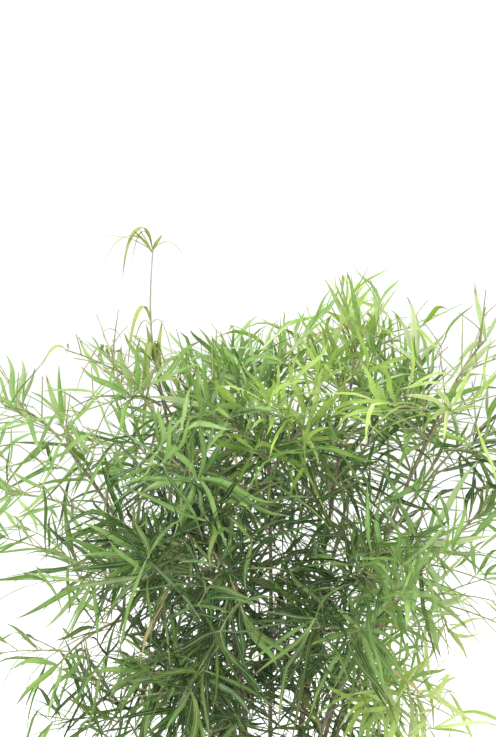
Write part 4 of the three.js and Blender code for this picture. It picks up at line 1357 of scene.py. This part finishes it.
def fine_twig(parent, share, order, kind, seed):
    """A fine twig at a share of another, or none where it is crowded."""
    lengths, angles, radii = kind
    random = random_from(seed)
    root, along = parent.at(share), parent.heading(share)
    across = across_of(along)
    for tries in range(FINE_TRIES):
        turn = order * GOLDEN_TURN + (random() - 0.5) * (TURN_SPREAD + tries / FINE_LOOSER)
        angle = between(angles, random())
        length = between(lengths, random()) * (1 - tries / (2 * FINE_TRIES))
        heading = unit(moved(swung(along, across, angle, turn), UP, FINE_RISE))
        end = moved(root, heading, length)
        curve = (root, arched(root, end, FINE_ARCH * length), end)
        knots = knots_of(*curve, FINE_STEPS)
        balls = balls_along(knots, length, lambda at: FINE_ROOM, FINE_FREE_SHARE, FINE_BALL_STEP)
        if within_bush(balls) and is_free(balls, parent.owner, root, SLENDER.clearance):
            take(balls, parent.owner)
            return Twig(parent.owner, length, knots, curve, radii)
    return None


def fine_twigs_of(parent, shares, kind, seed):
    found = []
    for order, share in enumerate(shares):
        found.append(fine_twig(parent, share, order, kind, seed + order))
    return [each for each in found if each]


def clothe(twig, age, star_leaves, fullness, bare=BARE_END):
    """Clusters of leaves at the knuckles of a twig, up to its bare end, and a star at its tip."""
    random = random_from(next(next_seed))
    place = FIRST_KNUCKLE
    clusters = []
    while place < twig.reach - bare:
        count = 1 + math.floor(MOST_AT_KNUCKLE * random())
        clusters.append((place / twig.reach, LEAF_STEP / twig.reach, count))
        place += between(KNUCKLE_GAP, random())
    clusters.append((1 - STAR_PLACE / twig.reach, -STAR_STEP / twig.reach, star_leaves))
    for share, step, count in clusters:
        def share_of(order, share=share, step=step):
            return share + step * order

        axis = twig.heading(share)
        for leaf in grow_cluster(twig, share_of, axis, age, next(next_seed), count, SLENDER):
            x, _, z = leaf.point(LEAF_MIDDLE)
            if random() < fullness * thinness(x, z):
                twig.leaves.append(leaf)


for spray in sprays:
    seed = FINE_SEED + SEED_STEP * spray.number
    spray.fine = fine_twigs_of(spray.twig, FINE_SHARES, FINE, seed)
    for i, side in enumerate(spray.sides):
        number = seed + SMALL_STEP + len(TWIGLET_SHARES) * i
        spray.fine += fine_twigs_of(side, TWIGLET_SHARES, TWIGLET, number)

inner_twigs = {}
inner_shares = [between(INNER_SPAN, i / (INNER_TWIGS - 1)) for i in range(INNER_TWIGS)]
for number, name in enumerate(CANES):
    knots = cane_knots(name)
    cane = Twig(f"cane_{name}", math.dist(knots[0], knots[-1]), knots, cane_curve(name), ())
    seed = 2 * FINE_SEED + SEED_STEP * number
    inner_twigs[name] = fine_twigs_of(cane, inner_shares, INNER, seed)

for spray in sprays:
    fullness = FULLNESS[spray.cane]
    if spray.name in SET_LEAVES and spray.end[2] < SET_BARE_BELOW:
        clothe(spray.twig, spray.age, 0, fullness, SET_BARE)
    else:
        clothe(spray.twig, spray.age, MAIN_STAR_LEAVES, fullness)
    for each in (*spray.sides, *spray.fine):
        clothe(each, spray.age, STAR_LEAVES, fullness)
for name, inner in inner_twigs.items():
    for each in inner:
        clothe(each, "mature", STAR_LEAVES, FULLNESS[name])

# Leaves
# Flat, narrow, sickle-shaped blades with a grooved midrib above and a low keel below, drawn out
# to a long point. They stand in clusters at the knuckles of the twigs, and in stars at the tips.
BLADE_LANES = (1, 0.5, 0, -0.5, -1, 0)
BLADE_FIRST_RING = 0.04
BLADE_LAST_RING = 0.95
BLADE_WIDEST = 0.38
BLADE_NECK = 0.2
BLADE_FALL = 1.7
RING_CROWDING = 1.1
BLADE_SLIMNESS = 0.82
SHOWN_SLIMNESS = 0.92
BLADE_FOLD = 0.16
BLADE_BULGE = 0.03
BLADE_KEEL = 0.42
KEEL_SPAN = (0.35, 1)
BLADE_TWIST = 1.3
BLADE_WAVE = 0.05
SHOOT_LEAF_FULLNESS = 1.35
KINKED_SHARE = 0.06
KINK_PLACE = 0.55
KINK_SPAN = (0.5, 1)
KINK_ASIDE = 0.5
KINK_FALL = 0.8
DRY_SHARE = 0.006
LOOK_SEED = 700001
DRY_SEED = 800001
TWIG_GRID = (12, 6)
FINE_GRID = (8, 5)
SHOOT_GRID = (24, 8)
LIGHT_THROUGH = 0.4

# The deep and the light green of each age of leaf, and the palest, a painted sheen on the lightest
# leaves
LOOKS = {
    "mature": (0x224516, 0x90b85c, 0xd4e0b2),
    "fresh": (0x548a28, 0xb4d260, 0xdce7a4),
    "young": (0x7d8638, 0xb9c26e, 0xd3daa0),
    "dry": (0xa58e58, 0xdcc894, 0xe8dcb8),
}

# How light a leaf is, partly its own tone at random and partly painted light and shade by its place
# in the bush: where this starts, and how much each thing adds
BUSH_MIDDLE = 400
BUSH_HALF = (330, 280, 330)
TONE_START = 0.05
PAINTED_LIGHT_OUTWARD = 0.5
MOST_OUTWARD = 1.2
PAINTED_LIGHT_UPWARD = 0.25
UPWARD_FROM = 300
UPWARD_OVER = 400
TONE_CHANCE = 0.75
YOUNG_TONE = 0.55
YOUNG_CHANCE = 0.6
# Painted light on the leaves set one by one, which stand in front
SHOWN_PAINTED_LIGHT = 0.45

# Places of painted light and shade, seen from the front: the middle, the half width and half
# height, and how much lighter. The middle of the bush is darker with painted shade.
PAINTED_LIGHT_PLACES = [
    ((0, 690), (380, 150), 0.42),
    ((190, 330), (130, 160), 1.1),
    ((-250, 430), (130, 260), 0.35),
    ((240, 500), (90, 150), -0.15),
    ((-10, 430), (160, 130), -0.35),
]


def blade_group():
    """A blade's colours from its midrib to its edges and from its base to its tip. Its tone holds
    painted light and shade, and its palest colour is a painted sheen.
    """
    names = ("Deep", "Light", "Pale", "Rib", "Tip", "Warm", "Cool")
    colors = [(name, "Color", None) for name in names]
    outputs = [("Color", "Color"), ("Roughness", "Float"), ("Height", "Float")]
    tree, given, made = new_group("blade", [("Blade", "Vector", None), *colors], outputs)
    parts = add(tree, "SeparateXYZ", {0: given["Blade"]}).outputs
    across, along, tone_and_painted_light = parts["X"], parts["Y"], parts["Z"]
    off_rib = add(tree, "Math", {0: across}, operation="ABSOLUTE").outputs[0]
    slow = sums(tree, "MULTIPLY", along, 0.5)
    lane = add(tree, "CombineXYZ", {"X": across, "Y": slow, "Z": tone_and_painted_light})
    veins = add(tree, "TexNoise", {"Vector": lane.outputs[0], "Scale": 14.0, "Detail": 3.0})
    veins = veins.outputs["Fac"]
    cloud = add(tree, "CombineXYZ", {"Y": along, "Z": sums(tree, "MULTIPLY", tone_and_painted_light, 9.0)})
    cloud = add(tree, "TexNoise", {"Vector": cloud.outputs[0], "Scale": 3.0, "Detail": 2.0})
    patch = rises(tree, cloud.outputs["Fac"], 0.35, 0.65, -0.12, 0.12)
    streak = rises(tree, veins, 0.3, 0.7, -0.14, 0.14)
    edge = rises(tree, off_rib, 0.6, 1.0, 0.0, 0.08)
    share = sums(tree, "ADD", sums(tree, "ADD", tone_and_painted_light, patch), sums(tree, "ADD", streak, edge))
    color = mixed(tree, rises(tree, share, 0.0, 0.9), given["Deep"], given["Light"])
    cast = add(tree, "TexWhiteNoise", {"W": tone_and_painted_light}, noise_dimensions="1D").outputs["Value"]
    withered = sums(tree, "ADD", along, rises(tree, cast, 0.0, 1.0, -0.06, 0.1))
    layers = (
        # Painted sheen: the lightest leaves turn pale
        ("Pale", share, 0.8, 1.7, 0.0, 1.0),
        ("Warm", cast, 0.6, 1.0, 0.0, 0.28),
        ("Cool", cast, 0.4, 0.0, 0.0, 0.2),
        ("Rib", off_rib, 0.06, 0.2, 0.55, 0.0),
        ("Rib", along, 0.0, 0.12, 0.5, 0.0),
        ("Tip", withered, 0.86, 1.0, 0.0, 0.85),
    )
    for name, value, start, end, low, high in layers:
        color = mixed(tree, rises(tree, value, start, end, low, high), color, given[name])
    tree.links.new(color, made["Color"])
    tree.links.new(rises(tree, veins, 0.3, 0.7, 0.34, 0.48), made["Roughness"])
    groove = rises(tree, off_rib, 0.0, 0.16)
    tree.links.new(sums(tree, "ADD", groove, sums(tree, "MULTIPLY", veins, 0.5)), made["Height"])
    return tree


BLADE = blade_group()


def leaf_material(age):
    """Glossy above, and lit through from behind as a thin blade is."""
    material, tree, shader = new_material(f"leaf_{age}")
    deep, light, pale = (tint(code) for code in LOOKS[age])
    blade = add(tree, "Attribute", {}, attribute_name="blade").outputs["Vector"]
    # The pale colour is a painted sheen
    colors = {"Deep": deep, "Light": light, "Pale": pale, "Rib": tint(0xb4cf8c)}
    casts = {"Tip": tint(0x8d7d60), "Warm": tint(0x9fb446), "Cool": tint(0x4f8a4c)}
    made = place_group(tree, BLADE, {"Blade": blade, **colors, **casts})
    bump = add(tree, "Bump", {"Strength": 0.35, "Distance": 0.0003, "Height": made["Height"]})
    normal = bump.outputs["Normal"]
    dress(tree, shader, made["Color"], made["Roughness"], normal)
    through = add(tree, "BsdfTranslucent", {"Color": made["Color"], "Normal": normal})
    surface = {0: LIGHT_THROUGH, 1: shader.outputs["BSDF"], 2: through.outputs["BSDF"]}
    surface = add(tree, "MixShader", surface)
    tree.links.new(surface.outputs[0], tree.nodes["Material Output"].inputs["Surface"])
    return material


def blade_half_width(share):
    """Half the width at a share of the length, as a share of the full width."""
    if share < BLADE_WIDEST:
        return between((BLADE_NECK, 1), math.sin(math.pi / 2 * share / BLADE_WIDEST)) / 2
    return (1 - ((share - BLADE_WIDEST) / (1 - BLADE_WIDEST)) ** BLADE_FALL) / 2


def blade_rings(count):
    """How far along a blade its rings of points lie."""
    span = (BLADE_FIRST_RING, BLADE_LAST_RING)
    return [between(span, (i / (count - 1)) ** RING_CROWDING) for i in range(count)]


def blade_faces(rings):
    """The faces of one blade: six lanes along its rings, and a fan at each end."""
    lanes = len(BLADE_LANES)
    faces = []
    for ring in range(rings - 1):
        for lane in range(lanes):
            after = (lane + 1) % lanes
            here, ahead = 1 + ring * lanes, 1 + (ring + 1) * lanes
            faces.append((here + lane, ahead + lane, ahead + after, here + after))
    tip = 1 + rings * lanes
    for lane in range(lanes):
        after = (lane + 1) % lanes
        faces.append((0, 1 + lane, 1 + after))
        faces.append((tip - lanes + after, tip - lanes + lane, tip))
    return faces


def leaf_tone_and_painted_light(leaf, random):
    """Painted light, lighter and yellowish, at the outside and the top of the bush, and painted
    shade, deep green, within. Each leaf also varies at random.
    """
    if leaf.age == "young":
        return YOUNG_TONE + YOUNG_CHANCE * (random() - 0.5)
    x, y, z = leaf.root
    wide, deep, high = BUSH_HALF
    # Painted light outward and upward, so the inside of the bush is darker with painted shade
    outward = (x / wide) ** 2 + (y / deep) ** 2 + ((z - BUSH_MIDDLE) / high) ** 2
    tone_and_painted_light = TONE_START + PAINTED_LIGHT_OUTWARD * min(outward, MOST_OUTWARD)
    tone_and_painted_light += PAINTED_LIGHT_UPWARD * (z - UPWARD_FROM) / UPWARD_OVER + TONE_CHANCE * (random() - 0.5)
    # Painted light and shade by place, seen from the front
    for (middle_x, middle_z), (wide, high), lighter in PAINTED_LIGHT_PLACES:
        off = ((x - middle_x) / wide) ** 2 + ((z - middle_z) / high) ** 2
        tone_and_painted_light += lighter * max(1 - off, 0)
    # The leaves set one by one, in front, get painted light
    return tone_and_painted_light + SHOWN_PAINTED_LIGHT * leaf.shown


def unit_rows(rows):
    return rows / np.linalg.norm(rows, axis=-1, keepdims=True)


def column(values):
    return np.array(values)[:, None, None]


def blade_points(leaves, count):
    """All points of blades with so many rings, in metres, and what their material reads."""
    draws = [random_from(leaf.seed + LOOK_SEED) for leaf in leaves]
    twist = column([BLADE_TWIST * (draw() - 0.5) for draw in draws])
    wave = column([2 * BLADE_WAVE * (draw() - 0.5) for draw in draws])
    tone_and_painted_light = [leaf_tone_and_painted_light(leaf, draw) for leaf, draw in zip(leaves, draws)]
    may_kink = [leaf.age != "young" and not leaf.shown for leaf in leaves]
    kinked = [draw() < KINKED_SHARE and may for may, draw in zip(may_kink, draws)]
    kink = column([between(KINK_SPAN, draw()) * bent for bent, draw in zip(kinked, draws)])
    root, heading, across = (
        np.array([getattr(leaf, name) for leaf in leaves])[:, None, :]
        for name in ("seat", "heading", "across")
    )
    length, width, sickle, droop = (
        column([getattr(leaf, name) for leaf in leaves])
        for name in ("length", "width", "sickle", "droop")
    )
    up = np.array(UP)
    falls = kink * (KINK_ASIDE * across - KINK_FALL * up)

    rings = blade_rings(count)
    share = np.array([0, *rings, 1])[None, :, None]
    past_kink = np.maximum(share - KINK_PLACE, 0)
    swerve = sickle * share**2 + wave * np.sin(TURN * share)
    course = heading * share + across * swerve - droop * share**2 * up + falls * past_kink
    middle = root + length * course
    slope = heading + across * (2 * sickle * share + wave * TURN * np.cos(TURN * share))
    slope = slope - 2 * droop * share * up + falls * (share > KINK_PLACE)
    along = unit_rows(slope)
    side = unit_rows(across - along * (across * along).sum(-1, keepdims=True))
    over = np.cross(along, side)
    turn = twist * share
    cosine, sine = np.cos(turn), np.sin(turn)
    side, over = side * cosine + over * sine, over * cosine - side * sine

    width = width * column([SHOWN_SLIMNESS if leaf.shown else BLADE_SLIMNESS for leaf in leaves])
    half = np.array([blade_half_width(ring) for ring in rings])[None, :, None] * width
    keel = BLADE_KEEL * between(KEEL_SPAN, half / half.max(axis=1, keepdims=True))
    ends = middle[:, :1], middle[:, -1:]
    middle, side, over = (rows[:, 1:-1] for rows in (middle, side, over))
    raised = [BLADE_FOLD * half, 0.5 * BLADE_FOLD * half + BLADE_BULGE * width, 0, 0, 0, -keel]
    raised[3], raised[4] = raised[1], raised[0]
    lanes = [middle + side * half * lane + over * rise for lane, rise in zip(BLADE_LANES, raised)]
    body = np.stack(lanes, axis=2).reshape(len(leaves), -1, 3)
    points = np.concatenate([ends[0], body, ends[1]], axis=1)

    read = np.zeros((len(leaves), points.shape[1], 3))
    read[:, 1:-1, 0] = np.tile(BLADE_LANES, count)
    read[:, 1:-1, 1] = np.repeat(rings, len(BLADE_LANES))
    read[:, -1, 1] = 1
    # The third value is the tone, with painted light and shade in it
    read[:, :, 2] = np.array(tone_and_painted_light)[:, None]
    return points.reshape(-1, 3) * MM, read.reshape(-1, 3)


def leaf_piece(name, leaves, material, dry_material=None):
    """Blades as one piece. Here and there one has dried."""
    points, read, faces, kinds = [], [], [], []
    for count in sorted({leaf.rings for leaf in leaves}):
        alike = [leaf for leaf in leaves if leaf.rings == count]
        pattern = blade_faces(count)
        size = 2 + len(BLADE_LANES) * count
        start = sum(len(batch) for batch in points)
        for order, leaf in enumerate(alike):
            first = start + order * size
            faces += [[first + corner for corner in face] for face in pattern]
            dried = dry_material and random_from(leaf.seed + DRY_SEED)() < DRY_SHARE
            kinds += [1 if dried else 0] * len(pattern)
        batch, batch_read = blade_points(alike, count)
        points.append(batch)
        read.append(batch_read)
    materials = [material, dry_material] if dry_material else [material]
    piece = new_piece(name, np.concatenate(points).tolist(), faces, *materials)
    piece.data.polygons.foreach_set("material_index", kinds)
    blade = piece.data.attributes.new("blade", "FLOAT_VECTOR", "POINT")
    blade.data.foreach_set("vector", np.concatenate(read).astype(np.float32).ravel())
    return piece


def twig_tube(twig, rings, sides):
    radii = [between(twig.radii, i / rings) for i in range(rings + 1)]
    return tube(knots_of(*twig.curve, rings), radii, sides)


twig_bark = bark_material("twig_bark", 0x535c28, 0xa3a962)
leaf_looks = {age: leaf_material(age) for age in LOOKS}

for leaf in shoot.leaves:
    leaf.width *= SHOOT_LEAF_FULLNESS
shoot_piece = leaf_piece("leaves_of_young_shoot", shoot.leaves, leaf_looks["young"])
fit(shoot_piece, "leaf_young", "young_shoot")
stem_bark = bark_material("shoot_stem", 0x8a7a72, 0xb9aea4)
stem_piece = new_piece("stem_of_young_shoot", *gather([twig_tube(shoot, *SHOOT_GRID)]), stem_bark)
fit(stem_piece, "leaf_young")

for spray in sprays:
    stems = [spray.twig, *spray.sides]
    grown = [leaf for each in (*stems, *spray.fine) for leaf in each.leaves]
    looks = leaf_looks[spray.age], leaf_looks["dry"]
    leaves = leaf_piece(f"leaves_of_spray_{spray.name}", grown, *looks)
    fit(leaves, f"leaf_{spray.age}", f"spray_{spray.name}")
    tubes = [twig_tube(each, *TWIG_GRID) for each in stems]
    tubes += [twig_tube(each, *FINE_GRID) for each in spray.fine]
    fit(new_piece(f"twigs_of_spray_{spray.name}", *gather(tubes), twig_bark), "cane_bark")
for name, inner in inner_twigs.items():
    grown = [leaf for each in inner for leaf in each.leaves]
    leaves = leaf_piece(f"inner_leaves_of_{name}", grown, leaf_looks["mature"], leaf_looks["dry"])
    fit(leaves, "leaf_mature")
    tubes = [twig_tube(each, *FINE_GRID) for each in inner]
    fit(new_piece(f"inner_twigs_of_{name}", *gather(tubes), twig_bark), "cane_bark")

# Studio
# A plain pale floor that runs far back, soft light from all round with a large lamp above the
# front left, and the camera level with the bush, as the photograph shows it.
FLOOR_HALF = 12.0
TARGET = Vector((-0.014, 0, 0.624))
VIEW_DISTANCE = 2.2
VIEW_ELEVATION = math.radians(4)
VIEW_HEIGHT = 0.737
SENSOR = 36
ROOM_LIGHT = 1.15


def floor_material():
    material, tree, shader = new_material("pale_floor")
    place = add(tree, "TexCoord", {}).outputs["Object"]
    color = mixed(tree, mottle(tree, place, 3.0, 0.8), tint(0xf1f1ef), tint(0xf5f5f4))
    give(tree, shader.inputs["Base Color"], color)
    shader.inputs["Roughness"].default_value = 0.9
    return material


def soft_lamp(name, place, size, power):
    lamp = bpy.data.lights.new(name, "AREA")
    lamp.shape = "DISK"
    lamp.size = size
    lamp.energy = power
    held = bpy.data.objects.new(name, lamp)
    held.location = place
    held.rotation_euler = (TARGET - Vector(place)).to_track_quat("-Z", "Y").to_euler()
    scene.collection.objects.link(held)


corners = [(x * FLOOR_HALF, y * FLOOR_HALF, 0) for x, y in ((-1, -1), (1, -1), (1, 1), (-1, 1))]
floor = new_piece("floor", corners, [(0, 1, 2, 3)], floor_material())
floor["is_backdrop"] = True
soft_lamp("key_lamp", place=(-1.1, -1.6, 2.3), size=1.4, power=62)
soft_lamp("top_lamp", place=(0.5, 0.6, 2.6), size=1.6, power=40)

world = bpy.data.worlds.new("white_room")
world.use_nodes = True
background = world.node_tree.nodes["Background"]
background.inputs["Color"].default_value = (1, 1, 1, 1)
background.inputs["Strength"].default_value = ROOM_LIGHT
scene.world = world
scene.view_settings.view_transform = "Standard"

camera = bpy.data.objects.new("camera", bpy.data.cameras.new("camera"))
back = Vector((0, -math.cos(VIEW_ELEVATION), math.sin(VIEW_ELEVATION)))
camera.location = TARGET + back * VIEW_DISTANCE
camera.rotation_euler = (-back).to_track_quat("-Z", "Y").to_euler()
camera.data.sensor_width = SENSOR
camera.data.lens = SENSOR * VIEW_DISTANCE / VIEW_HEIGHT
scene.collection.objects.link(camera)
scene.camera = camera

visual_low, visual_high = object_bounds()
boxes = {"cad": [cad_low, cad_high], "visual": [visual_low, visual_high]}
{name: [list(corner) for corner in box] for name, box in boxes.items()}
